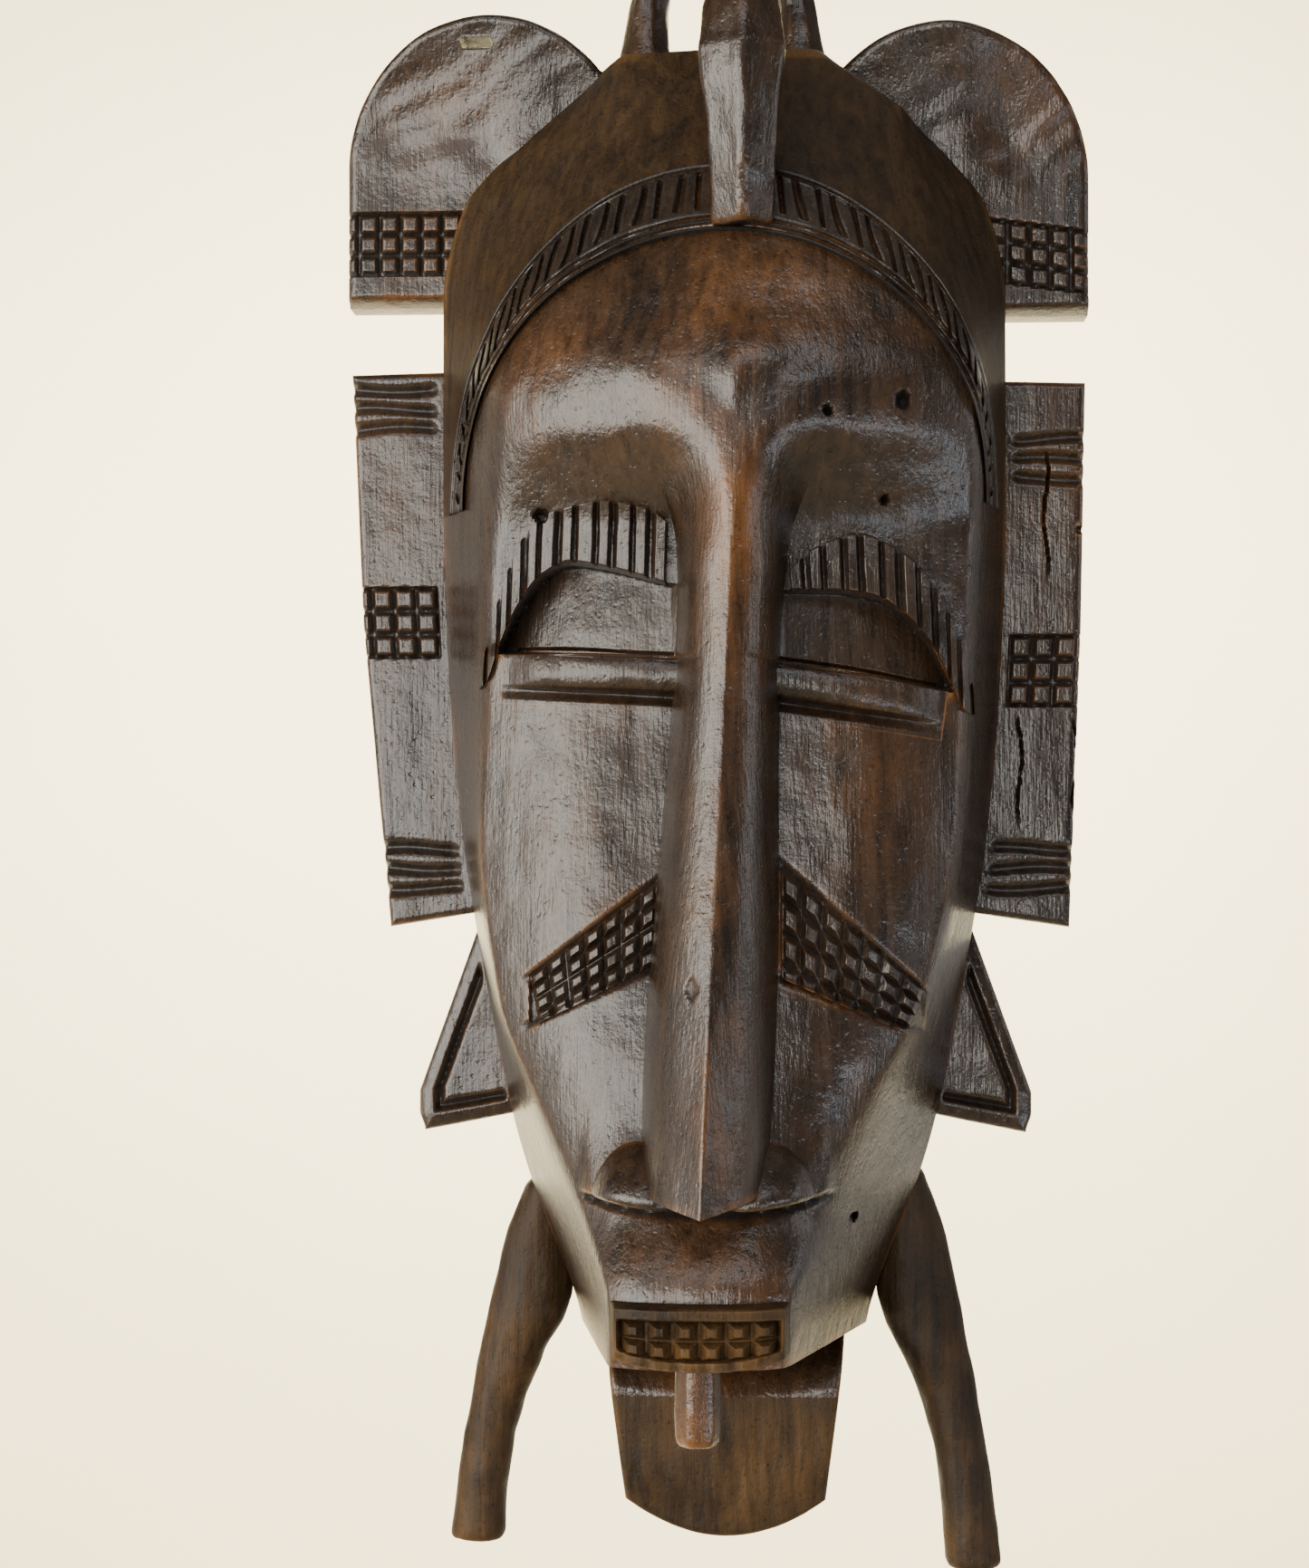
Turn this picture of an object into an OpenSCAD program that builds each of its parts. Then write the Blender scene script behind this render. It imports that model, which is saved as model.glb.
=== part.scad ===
// Carved wooden face mask in the West African kpelie style, made to hang on a wall.
// The frame: +X to the right as seen from the front, +Z up, the front faces -Y and
// the wall is the plane y = 0. The origin is where a wall hook carries the hanger ring.

/* [Face] */
// Width of the face and crown, without the wings
face_w = 124; // [100:1:150]
// Height from the jaw's lower edge to the crown's rim
face_h = 275; // [225:1:330]
// Depth from the wall to the brow
brow_depth = 62; // [54:1:76]
// Thickness of the hollowed shell
shell_wall = 9; // [6:0.5:11]
// Thickness of the rim, where the wings meet the face
rim_t = 12; // [9:0.5:15]
// Lean of the nose line, in degrees
face_lean = 2.5; // [0:0.5:4]

/* [Crown] */
// Height of the crown's rim above the hook
crown_rise = 10; // [8:0.5:14]
// Depth of the crown's rim
crown_depth = 25; // [20:1:30]
// Width of the rim's straight top
crown_top_w = 52; // [44:1:60]

/* [Hair band] */
// Width of the band at the top of the forehead
band_w = 16; // [9:0.5:16]
// Width of the band where it ends at the temples
band_end_w = 4; // [2:0.5:5]
// Height of the band above the forehead
band_relief = 1.8; // [1:0.1:3]

/* [Eyes and brows] */
// Distance from the centre line to each eye
eye_x = 27; // [24:0.5:30]
// Length of the eye slit
slit_l = 34; // [26:0.5:38]
// Height of the eye slit
slit_h = 1.5; // [1.5:0.1:3.5]
// Height of the lower lid
lid_h = 6.6; // [5:0.2:8]
// Relief of the lower lid
lid_relief = 3; // [1.5:0.1:4]
// Half width of a brow arch
brow_w = 28; // [25:0.5:30]
// Height of a brow arch
brow_h = 40; // [34:0.5:44]
// Width of the brow's hatched strip at its top
brow_strip = 13; // [9:0.5:15]
// Relief of the brow's strip
brow_relief = 1.6; // [1:0.1:3]
// How much lower the right eye and brow sit than the left
eye_drop = 4; // [0:0.5:6]

/* [Nose and mouth] */
// Half width of the nose at its base
nose_half_w = 13; // [9:0.5:14]
// Depth from the wall to the nose's tip
nose_depth = 84; // [76:1:94]
// Half width of one nostril lobe
nostril_r = 8; // [6:0.5:10]
// Width of the mouth
mouth_w = 35; // [28:0.5:38]
// Height of the mouth
mouth_h = 12; // [10:0.5:14]
// Relief of the lips
lip_relief = 4; // [2:0.5:6]
// Teeth in each of the two rows
teeth_n = 6; // [4:1:8]
// Radius of the peg under the lip
peg_r = 5; // [3.5:0.25:6]
// Length of the peg under the lip
peg_l = 17; // [10:0.5:22]

/* [Neck and legs] */
// Width of the neck panel at its top
neck_top_w = 52; // [46:1:56]
// Width of the neck panel at its bottom
neck_bottom_w = 43; // [36:1:50]
// Length of the neck panel below the jaw
neck_l = 44; // [38:1:56]
// Depth of the neck panel
neck_depth = 27; // [22:1:32]
// Length of the legs below the jaw
leg_l = 49; // [44:1:62]
// Thickness of a leg
leg_t = 12; // [9:0.5:14]
// How much lower the right foot ends than the left
leg_drop = 5; // [0:0.5:8]

/* [Wings] */
// Reach of the left wings beyond the face, at the top
reach_left = 21.5; // [17:0.5:30]
// Reach of the right wings beyond the face, at the top
reach_right = 18.5; // [17:0.5:30]
// How much the left wing's reach shrinks towards its lower end
taper_left = 9; // [0:0.5:12]
// How much the right wing's reach shrinks towards its lower end
taper_right = 4; // [0:0.5:12]
// Radius of the round upper wings
lobe_r = 32; // [28:0.5:34]
// How far the upper wings curl forward at their top
lobe_curl = 8; // [4:0.5:12]
// Width of the notch between the upper and the side wing
notch_h = 15; // [10:0.5:20]
// Half length of the tie slot in the left upper wing
slot_half_l = 2.6; // [1.5:0.1:4]
// Radius of the tie slot's ends
slot_r = 1.25; // [1:0.05:1.8]
// Reach of the ear fins beyond the face
fin_reach = 22; // [16:0.5:26]

/* [Crest bird] */
// Height of the bird's legs
bird_leg_l = 22; // [18:0.5:28]
// Distance between the bird's legs
bird_leg_gap = 34; // [30:0.5:40]
// Length of the bird's body, out from the wall
bird_body_l = 50; // [44:1:56]
// Width of the bird's body
bird_body_w = 30; // [26:1:36]
// Width of the bird's head across the eyes
bird_head_w = 18; // [14:0.5:20]
// Width of the beak at its tip
beak_w = 12.5; // [9:0.5:14]

/* [Hanger] */
// Radius of the hanger ring, to the middle of its wire
ring_r = 8; // [7:0.25:9]
// Radius of the ring's bent wire
wire_r = 0.8; // [0.6:0.05:1]
// Radius of the ring's straight bar, which turns in the strap
bar_r = 0.9; // [0.7:0.05:1.1]
// Running clearance of the bar in the strap, on the radius
bar_clear = 0.05; // [0.03:0.01:0.08]
// Width of the hanger strap
strap_w = 8; // [6:0.5:10]
// Thickness of the strap's sheet
strap_t = 1; // [0.8:0.1:1.2]
// Radius of the screw's shank
screw_r = 1.2; // [1:0.1:1.5]
// Length of the screw's shank
screw_l = 9; // [6:0.5:12]

/* [Hidden] */
$fn = 32;

wood = "#4a3324";
worn_wood = "#7a4a26";
steel = "#b9a878";

LEFT = -1;
RIGHT = 1;

// Heights are given as shares of the face, from 0 at the jaw to 1 at the crown's rim.
top_z = crown_rise;
jaw_z = top_z - face_h;
function at(share) = jaw_z + share * face_h;
function share_of(z) = (z - jaw_z) / face_h;

// Half width of the outline, as a share of half the face's width, by height share.
outline = [
    [0, 0.50], [0.015, 0.516], [0.116, 0.685], [0.167, 0.75], [0.316, 0.88], [0.371, 0.92],
    [0.509, 0.976], [0.655, 1], [0.82, 1], [0.847, 0.985], [0.895, 0.92], [0.925, 0.82], [0.95, 0.70],
    [0.975, 0.56], [0.99, 0.47]
];
// Depth along the middle of the face and along its front edges, as shares of the brow's depth.
mid_depth = [
    [0, 1.13], [0.048, 1.16], [0.12, 1.016], [0.182, 0.95], [0.291, 0.87], [0.4, 0.806], [0.516, 0.774],
    [0.618, 0.81], [0.66, 0.91], [0.69, 0.985], [0.72, 1], [0.782, 0.93], [0.847, 0.806], [0.895, 0.69]
];
edge_depth = [
    [0, 1.07], [0.048, 1.09], [0.106, 0.88], [0.182, 0.75], [0.291, 0.665], [0.516, 0.6],
    [0.618, 0.62], [0.713, 0.72], [0.782, 0.68], [0.847, 0.60], [0.895, 0.55]
];
// Half width of the face's front, as a share of half the face's width.
edge_width = [
    [0, 0.285], [0.048, 0.30], [0.106, 0.40], [0.182, 0.57], [0.262, 0.72], [0.404, 0.82],
    [0.578, 0.83], [0.713, 0.81], [0.782, 0.75], [0.847, 0.66], [0.91, 0.56], [1, 0.5]
];
edge_round = 6;

eye_z = at(0.523);
nose_top_z = at(0.715);
nose_tip_z = at(0.125);
mouth_top_z = at(0.048);
temple_z = at(0.64);
band_outer_w = face_w / 2 - 2;
band_outer_h = at(0.895) - temple_z;

function half_w(z) =
    share_of(z) > 0.99
        ? crown_top_w / 2 + (lookup(0.99, outline) * face_w / 2 - crown_top_w / 2) * (1 - share_of(z)) / 0.01
        : face_w / 2 * lookup(share_of(z), outline);
function lean_x(z) = tan(face_lean) * (z - eye_z + 25);
function mix(a, b, share) = a + (b - a) * share;
function soft_min(a, b, r) = let (h = max(r - abs(a - b), 0) / r) min(a, b) - h * h * r / 4;

// Depth of the face's front, without the nose and the other raised pieces.
function face_depth(x, z) =
    let (
        over = max(0, (share_of(z) - 0.895) / 0.105),
        mid = mix(brow_depth * lookup(share_of(z), mid_depth), crown_depth + 3, over),
        edge = mix(brow_depth * lookup(share_of(z), edge_depth), crown_depth, over),
        edge_x = face_w / 2 * lookup(share_of(z), edge_width),
        u = min(abs(x - lean_x(z)) / edge_x, 1.15),
        front = mid - (mid - edge) * u * u,
        slope = (edge - rim_t) / max(half_w(z) - edge_x - sign(x) * lean_x(z), 4),
        side = rim_t + (half_w(z) - abs(x)) * slope
    )
    max(rim_t, soft_min(front, side, edge_round));

// The recess for the hanger, its hinge line and its screw.
recess_w = 2 * (ring_r + wire_r) + 4;
recess_depth = 4;
axis_y = -2;
axis_z = -(ring_r - wire_r);
recess_high_z = ring_r - wire_r + axis_z + 2 * wire_r + 3;
screw_z = axis_z - ring_r - wire_r - 4;
recess_low_z = screw_z - 5.2;

// The hollow behind the face: half width of its mouth at the wall, and its depth.
hollow_top_z = min(at(0.851), recess_low_z - 4);
hollow_low_z = at(0.09);
function hollow_w(z) =
    z < temple_z
        ? half_w(z) - shell_wall - 2
        : (half_w(temple_z) - shell_wall - 2) * sqrt(max(0.02, 1 - pow((z - temple_z) / (hollow_top_z - temple_z), 2)));
function hollow_depth(x, z) =
    let (
        room = (hollow_w(z) - abs(x)) * 2,
        front = face_depth(x, z) - shell_wall * 1.1,
        ends = min(z - hollow_low_z, hollow_top_z - z) * 2 + 2
    )
    max(1, min(room + 1, front, ends));

column_shares = [-1, -0.96, -0.92, -0.87, -0.81, -0.74, -0.64, -0.5, -0.34, -0.17, 0,
    0.17, 0.34, 0.5, 0.64, 0.74, 0.81, 0.87, 0.92, 0.96, 1];
face_rows = [for (s = [0, 0.02, 0.048, 0.08, 0.12, 0.15, 0.182, 0.22, 0.262, 0.316, 0.37, 0.42, 0.47, 0.523,
    0.57, 0.618, 0.64, 0.673, 0.695, 0.713, 0.74, 0.782, 0.815, 0.847, 0.875, 0.895]) at(s)];
crown_rows = [for (s = [0.64, 0.673, 0.713, 0.782, 0.847, 0.895, 0.925, 0.95, 0.975, 0.99, 1]) at(s)];
hollow_rows = [for (i = [0:15]) hollow_low_z + (hollow_top_z - hollow_low_z) * i / 15];

// Evaluates a carved solid as one mesh, at its own size.
module as_one_mesh() {
    resize([0, 0, 0]) children();
}

// A solid between the wall plane, moved by back, and a front surface given by a function of x and z.
module relief(rows, half, depth, extra = 0, back = 0) {
    n = len(column_shares);
    m = len(rows);
    front = [for (z = rows) for (t = column_shares) let (x = half(z) * t) [x, -depth(x, z) - extra, z]];
    rear = [for (z = rows) for (t = column_shares) [half(z) * t, back, z]];
    count = n * m;
    quads = [for (i = [0:m - 2]) for (j = [0:n - 2]) [i * n + j, i * n + j + 1, (i + 1) * n + j + 1, (i + 1) * n + j]];
    edge = concat(
        [for (j = [0:n - 2]) [j, j + 1]],
        [for (i = [0:m - 2]) [i * n + n - 1, (i + 1) * n + n - 1]],
        [for (j = [n - 1:-1:1]) [(m - 1) * n + j, (m - 1) * n + j - 1]],
        [for (i = [m - 1:-1:1]) [i * n, (i - 1) * n]]
    );
    faces = concat(
        [for (q = quads) each [[q[0], q[2], q[1]], [q[0], q[3], q[2]]]],
        [for (e = edge) each [[e[0], e[1], e[1] + count], [e[0], e[1] + count, e[0] + count]]],
        [[for (e = edge) e[0] + count]]
    );
    polyhedron(points = concat(front, rear), faces = faces, convexity = 6);
}

// A closed solid through a list of rings with the same number of points.
module loft(rings) {
    n = len(rings[0]);
    m = len(rings);
    faces = concat(
        [[for (j = [n - 1:-1:0]) j]],
        [for (i = [0:m - 2]) for (j = [0:n - 1]) let (k = (j + 1) % n) each [
            [i * n + j, i * n + k, (i + 1) * n + k],
            [i * n + j, (i + 1) * n + k, (i + 1) * n + j]
        ]],
        [[for (j = [0:n - 1]) (m - 1) * n + j]]
    );
    polyhedron(points = [for (r = rings) each r], faces = faces, convexity = 4);
}

// Points of a ring in a level plane: an oval of half sizes rx and ry about [x, y].
function oval(x, y, z, rx, ry, n = 12) = [for (i = [0:n - 1]) [x + rx * cos(i * 360 / n), y + ry * sin(i * 360 / n), z]];

// Lays a front-view outline across the whole depth of the mask.
module through_depth(depth = 140) {
    rotate([90, 0, 0]) linear_extrude(height = depth) children();
}

module half_ellipse_2d(w, h, z, steps = 32) {
    polygon([for (i = [0:steps]) [w * cos(i * 180 / steps), z + h * sin(i * 180 / steps)]]);
}

module face_solid(extra = 0) {
    relief(face_rows, function (z) half_w(z), function (x, z) face_depth(x, z), extra);
}

module hollow_solid() {
    relief(hollow_rows, function (z) hollow_w(z), function (x, z) hollow_depth(x, z), 0, 1);
}

// Everything under the hair band's outer edge.
module under_band_2d(steps = 32) {
    polygon(concat(
        [[-face_w, temple_z], [-face_w, jaw_z - 1], [face_w, jaw_z - 1], [face_w, temple_z]],
        [for (i = [0:steps])
            [band_outer_w * cos(i * 180 / steps), temple_z + band_outer_h * sin(i * 180 / steps)]]));
}

module eye_place(side) {
    translate([side * eye_x + 1, 0, eye_z - (side == RIGHT ? eye_drop : 0)]) rotate([0, 5, 0]) children();
}

module hanger_cuts() {
    translate([-recess_w / 2, -recess_depth, recess_low_z])
        cube([recess_w, recess_depth + 1, recess_high_z - recess_low_z]);
    translate([0, -recess_depth + 1, screw_z]) rotate([90, 0, 0]) cylinder(r = screw_r + 0.1, h = screw_l + 2);
}

module face_shell() {
    color(wood) as_one_mesh() difference() {
        intersection() {
            face_solid();
            through_depth() under_band_2d();
        }
        hollow_solid();
        hanger_cuts();
        for (side = [LEFT, RIGHT])
            eye_place(side)
                translate([-slit_l / 2, -brow_depth * 1.5, -slit_h / 2]) cube([slit_l, brow_depth * 1.5, slit_h]);
    }
}

module crown() {
    color(wood) as_one_mesh() difference() {
        relief(crown_rows, function (z) half_w(z), function (x, z) face_depth(x, z));
        through_depth() under_band_2d();
        hollow_solid();
        hanger_cuts();
    }
}

// A thin piece that stands out of the face's surface inside a front-view outline.
module raised(height) {
    as_one_mesh() difference() {
        intersection() {
            face_solid(height);
            through_depth() children();
        }
        face_solid();
    }
}

module hair_band() {
    color(wood) raised(band_relief) difference() {
        half_ellipse_2d(band_outer_w, band_outer_h, temple_z);
        half_ellipse_2d(band_outer_w - band_end_w, band_outer_h - band_w, temple_z);
        translate([band_end_w - band_outer_w, temple_z - 1]) square([2 * (band_outer_w - band_end_w), 1.1]);
    }
}

module brow(side) {
    low_z = eye_z - 7 - (side == RIGHT ? eye_drop : 0);
    color(worn_wood) raised(brow_relief) translate([side * eye_x + (side == LEFT ? 2.5 : -1), 0]) intersection() {
        difference() {
            half_ellipse_2d(brow_w, brow_h, low_z);
            half_ellipse_2d(brow_w - 4, brow_h - brow_strip, low_z);
        }
        translate([side == LEFT ? -brow_w : -13, low_z - 1]) square([brow_w + 13, brow_h + 2]);
    }
}

module lower_lid(side) {
    start = -slit_l / 2 + (side == RIGHT ? 3 : -1);
    color(wood) raised(lid_relief)
        translate([side * eye_x + 1, eye_z - (side == RIGHT ? eye_drop : 0)]) rotate(-5)
            translate([start, -slit_h / 2 - lid_h]) square([slit_l - 2, lid_h]);
}

// Heights, half widths and ridge depths of the nose, from its root to its tip.
nose_rows = [
    [0.70, 0.74, 0.765, 4], [0.66, 0.75, 0.765, 4.5], [0.55, 0.79, 0.785, 4.5], [0.45, 0.83, 0.80, 4],
    [0.36, 0.88, 0.84, 3], [0.28, 0.94, 0.89, 1.5], [0.2, 0.98, 0.95, 0.8], [0.125, 1, 1, 0.6]
];

function nose_ring(row) =
    let (
        z = at(row[0]), x = lean_x(z), w = nose_half_w * row[1], tip = nose_depth * row[2], ridge = row[3],
        base = face_depth(x, z) - 6, shoulder = base + (tip - base) * 0.72
    )
    [[x - w, -base, z], [x - w * 0.8, -shoulder, z], [x - ridge, -tip + 0.6, z], [x, -tip, z],
        [x + ridge, -tip + 0.6, z], [x + w * 0.8, -shoulder, z], [x + w, -base, z]];

module nose_solid() {
    loft([for (i = [len(nose_rows) - 1:-1:0]) nose_ring(nose_rows[i])]);
}

module nose() {
    color(wood) as_one_mesh() difference() {
        nose_solid();
        face_solid();
    }
}

module nostril(side) {
    x = lean_x(nose_tip_z) + side * (nose_half_w + 3);
    y = -face_depth(x, nose_tip_z);
    color(wood) loft([for (r = [[0, 1], [0.4, 0.95], [0.75, 0.75], [1, 0.35]])
        oval(x, y + 1, nose_tip_z + r[0] * nostril_r * 1.2, nostril_r * r[1], nostril_r * 0.8 * r[1])]);
}

mouth_x = lean_x(mouth_top_z);
module mouth_2d() {
    translate([mouth_x, mouth_top_z - mouth_h / 2]) square([mouth_w, mouth_h], center = true);
}

module mouth_solid() {
    intersection() {
        face_solid(lip_relief);
        through_depth() mouth_2d();
    }
}

module mouth() {
    color(wood) as_one_mesh() difference() {
        mouth_solid();
        face_solid();
    }
}

tooth_pitch = (mouth_w - 4) / teeth_n;
tooth_row_h = (mouth_h - 4) / 2;
module teeth() {
    front = face_depth(mouth_x, mouth_top_z - mouth_h / 2) + lip_relief;
    color(worn_wood) as_one_mesh() difference() {
        for (row = [0, 1]) for (i = [0:teeth_n - 1])
            translate([mouth_x + (i - (teeth_n - 1) / 2) * tooth_pitch, -front + 6,
                mouth_top_z - mouth_h / 2 + (row - 0.5) * tooth_row_h])
                rotate([90, 0, 0]) linear_extrude(height = 7.2, scale = 0.75)
                    square([tooth_pitch - 1, tooth_row_h - 0.8], center = true);
        mouth_solid();
        face_solid();
    }
}

peg_y = -(brow_depth * lookup(0, mid_depth) - 9);
module lip_peg() {
    color(worn_wood) translate([mouth_x, peg_y, jaw_z - peg_l]) cylinder(r = peg_r, h = peg_l);
}

module neck_panel() {
    color(wood) difference() {
        intersection() {
            rotate([90, 0, 90]) translate([0, 0, -neck_top_w]) linear_extrude(height = 2 * neck_top_w)
                polygon([[0, jaw_z], [-neck_depth * 0.5, jaw_z], [-neck_depth, jaw_z - 15],
                    [-neck_depth + 2, jaw_z - neck_l], [0, jaw_z - neck_l]]);
            through_depth() polygon(concat(
                [[-neck_top_w / 2, jaw_z], [neck_top_w / 2, jaw_z]],
                [for (i = [8:-1:-8]) [neck_bottom_w / 2 * i / 8,
                    jaw_z - neck_l + 9 * pow(i / 8, 2)]]
            ));
        }
        translate([0, 4, jaw_z - neck_l - 1]) cylinder(r = neck_bottom_w / 2 - 8, h = neck_l + 1);
    }
}

// A leg's drop below the jaw as a share of its length, its distance from the middle as a share of half
// the face's width, and its half width.
leg_rows = [
    [-0.55, 0.64, 5], [-0.35, 0.67, 8], [-0.05, 0.69, 9], [0.22, 0.77, 6.6], [0.6, 0.84, 5.8], [1, 0.87, 6.6]
];

module leg(side) {
    drop = side == RIGHT ? leg_drop : 0;
    color(wood) as_one_mesh() difference() {
        loft([for (i = [len(leg_rows) - 1:-1:0]) let (r = leg_rows[i])
            oval(side * r[1] * face_w / 2, -leg_t / 2 - 0.5, jaw_z - r[0] * (leg_l + drop), r[2], leg_t / 2)]);
        face_solid();
        translate([-face_w, 0, jaw_z - 100]) cube([2 * face_w, 20, 200]);
    }
}

// The mask's outline at the wall, on one side, closed along the middle.
module outline_2d(side) {
    rows = concat([for (z = face_rows) if (z < temple_z - 0.1) z], crown_rows);
    polygon(concat([[0, jaw_z]], [for (z = rows) [side * half_w(z), z]], [[0, top_z]]));
}

module plate(t) {
    rotate([90, 0, 0]) linear_extrude(height = t) children();
}

upper_low_z = at(0.814);
side_high_z = upper_low_z - notch_h;
side_low_z = at(0.325);

function reach(side) = face_w / 2 + (side == LEFT ? reach_left : reach_right);
function taper(side) = side == LEFT ? taper_left : taper_right;
function side_shift(side) = side == RIGHT ? -3 : 0;
function lobe_centre(side) = [side * (reach(side) - lobe_r), top_z - 21 + (side == RIGHT ? -3 : 0)];

module upper_wing_2d(side) {
    c = lobe_centre(side);
    low = upper_low_z + side_shift(side);
    difference() {
        polygon(concat(
            [[side * crown_top_w / 2, top_z]],
            [for (a = [50:10:180]) [c[0] - side * lobe_r * cos(a), c[1] + lobe_r * sin(a)]],
            [[side * reach(side), low - 2], [side * (face_w / 2 - 14), low], [side * (face_w / 2 - 22), at(0.9)]]
        ));
        outline_2d(side);
    }
}

module upper_wing(side) {
    c = lobe_centre(side);
    top = c[1] + lobe_r;
    color(wood) difference() {
        intersection() {
            plate(rim_t + lobe_curl) upper_wing_2d(side);
            rotate([90, 0, 90]) translate([0, 0, -2 * face_w]) linear_extrude(height = 4 * face_w)
                polygon([[0, upper_low_z - 10], [-rim_t, upper_low_z - 10], [-rim_t, top - 34],
                    [-rim_t - lobe_curl * 0.2, top - 20], [-rim_t - lobe_curl * 0.5, top - 10],
                    [-rim_t - lobe_curl, top + 1], [0, top + 1]]);
        }
        if (side == LEFT) translate([c[0] - 2.6, 0, c[1] + lobe_r - 6]) {
            for (dx = [-slot_half_l, slot_half_l])
                translate([dx, 1, 0]) rotate([90, 0, 0]) cylinder(r = slot_r, h = rim_t + lobe_curl + 2);
            translate([-slot_half_l, -rim_t - lobe_curl - 1, -slot_r])
                cube([2 * slot_half_l, rim_t + lobe_curl + 2, 2 * slot_r]);
        }
    }
}

module side_wing(side) {
    high = side_high_z + side_shift(side);
    low = side_low_z;
    outer = reach(side) - 1;
    color(wood) plate(rim_t) difference() {
        polygon([[side * 30, high], [side * 30, low], [side * (outer - taper(side)), low - 3.5],
            [side * (outer - taper(side) * 0.3), (high + low) / 2 + 10], [side * outer, high - 2]]);
        outline_2d(side);
    }
}

module ear_fin(side) {
    high = side_low_z - 4.5;
    low = at(0.165);
    tip = half_w((high + low) / 2) + fin_reach - 6;
    color(wood) plate(rim_t - 2) difference() {
        polygon([[side * 30, high], [side * half_w(high), high], [side * (tip + 1), low + 4], [side * tip, low - 6],
            [side * 30, low]]);
        outline_2d(side);
    }
}

// The bird on the crown: body, neck, head with its beak down to the forehead, and tail.
bird_floor_z = top_z;
body_z = bird_floor_z + bird_leg_l + 8;
head_z = at(0.967);
beak_tip_z = at(0.848);
head_y = -(face_depth(0, beak_tip_z) + 12);

module crest_leg(side) {
    x = side * bird_leg_gap / 2;
    color(wood) loft([
        oval(x, -crown_depth / 2, bird_floor_z, 6.8, 9),
        oval(x, -crown_depth / 2, bird_floor_z + 5, 5.6, 7.5),
        oval(x * 0.94, -crown_depth / 2, bird_floor_z + 15, 4.6, 6.5),
        oval(x * 0.8, -crown_depth / 2, body_z - 1, 4, 6)
    ]);
}

module crest_body() {
    color(wood) loft([for (r = [[-10.5, 0.45], [-9, 0.7], [-4, 0.96], [2, 1], [7, 0.85], [10.5, 0.6], [12, 0.3]])
        oval(0, -bird_body_l / 2 - 1, body_z + r[0], bird_body_w / 2 * r[1], bird_body_l / 2 * r[1], 20)]);
}

module crest_head_solid() {
    x = lean_x(head_z);
    w = bird_head_w / 2;
    ring = function (z, half, front, back)
        [[x - half, -back, z], [x - half, -front + 4, z], [x, -front, z], [x + half, -front + 4, z], [x + half, -back, z]];
    front = -head_y;
    loft([
        ring(beak_tip_z - 1, beak_w / 2, front - 3, front - 16),
        ring(beak_tip_z + 8, beak_w / 2 * 1.08, front, front - 12),
        ring(head_z - 9, beak_w / 2 * 1.3, front + 3, front - 10),
        ring(head_z, w, front + 4, front - 12),
        ring(head_z + 12, w * 0.8, front + 1, front - 14),
        ring(head_z + 20, w * 0.5, front - 5, front - 13)
    ]);
}

module crest_head() {
    color(wood) as_one_mesh() difference() {
        crest_head_solid();
        face_solid(band_relief);
    }
}

module crest_neck() {
    neck_r = 8;
    steps = 8;
    color(wood) loft([for (i = [0:steps]) let (
        t = i / steps,
        y = (1 - t) * (head_y + 7) + t * (-bird_body_l * 0.62),
        z = (1 - t) * (head_z + 10) + t * (body_z + 2) + 6 * sin(180 * t),
        x = lean_x(head_z) * (1 - t)
    ) [for (a = [330:-30:0]) [x + neck_r * cos(a), y - neck_r * sin(a) * 0.72, z + neck_r * sin(a) * 0.72]]]);
}

module crest_tail() {
    color(wood) loft([
        oval(0, -10, body_z - 2, 9, 5),
        oval(0, -8, body_z + 14, 11, 4),
        oval(0, -6, body_z + 26, 13, 3.5),
        oval(0, -5.5, body_z + 31, 10, 3)
    ]);
}

module hanger_strap() {
    color(steel) difference() {
        union() {
            translate([-strap_w / 2, -recess_depth, recess_low_z + 1])
                cube([strap_w, strap_t, axis_z - recess_low_z - 1]);
            translate([-strap_w / 2, axis_y, axis_z]) rotate([0, 90, 0]) cylinder(r = 1.9, h = strap_w);
        }
        translate([-strap_w / 2 - 1, axis_y, axis_z]) rotate([0, 90, 0])
            cylinder(r = bar_r + bar_clear, h = strap_w + 2);
        translate([0, 0, screw_z]) rotate([90, 0, 0]) cylinder(r = screw_r + 0.1, h = recess_depth + 1);
    }
}

module hanger_ring() {
    color(steel) {
        translate([-ring_r - wire_r, axis_y, axis_z]) rotate([0, 90, 0]) cylinder(r = bar_r, h = 2 * (ring_r + wire_r));
        translate([0, axis_y, axis_z]) rotate([90, 0, 0]) rotate_extrude(angle = 180) translate([ring_r, 0]) circle(r = wire_r);
    }
}

module hanger_screw() {
    color(steel) translate([0, -recess_depth + strap_t, screw_z]) rotate([90, 0, 0]) {
        translate([0, 0, -1.2]) cylinder(r = 2.4, h = 1.2);
        cylinder(r = screw_r, h = screw_l);
    }
}

face_shell();
crown();
hair_band();
brow(LEFT);  // brow_left
brow(RIGHT);  // brow_right
lower_lid(LEFT);  // lower_lid_left
lower_lid(RIGHT);  // lower_lid_right
nose();
nostril(LEFT);  // nostril_left
nostril(RIGHT);  // nostril_right
mouth();
teeth();
lip_peg();
neck_panel();
leg(LEFT);  // leg_left
leg(RIGHT);  // leg_right
upper_wing(LEFT);  // upper_wing_left
upper_wing(RIGHT);  // upper_wing_right
side_wing(LEFT);  // side_wing_left
side_wing(RIGHT);  // side_wing_right
ear_fin(LEFT);  // ear_fin_left
ear_fin(RIGHT);  // ear_fin_right
crest_leg(LEFT);  // crest_leg_left
crest_leg(RIGHT);  // crest_leg_right
crest_body();
crest_neck();
crest_head();
crest_tail();
hanger_strap();
hanger_ring();
hanger_screw();
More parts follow.
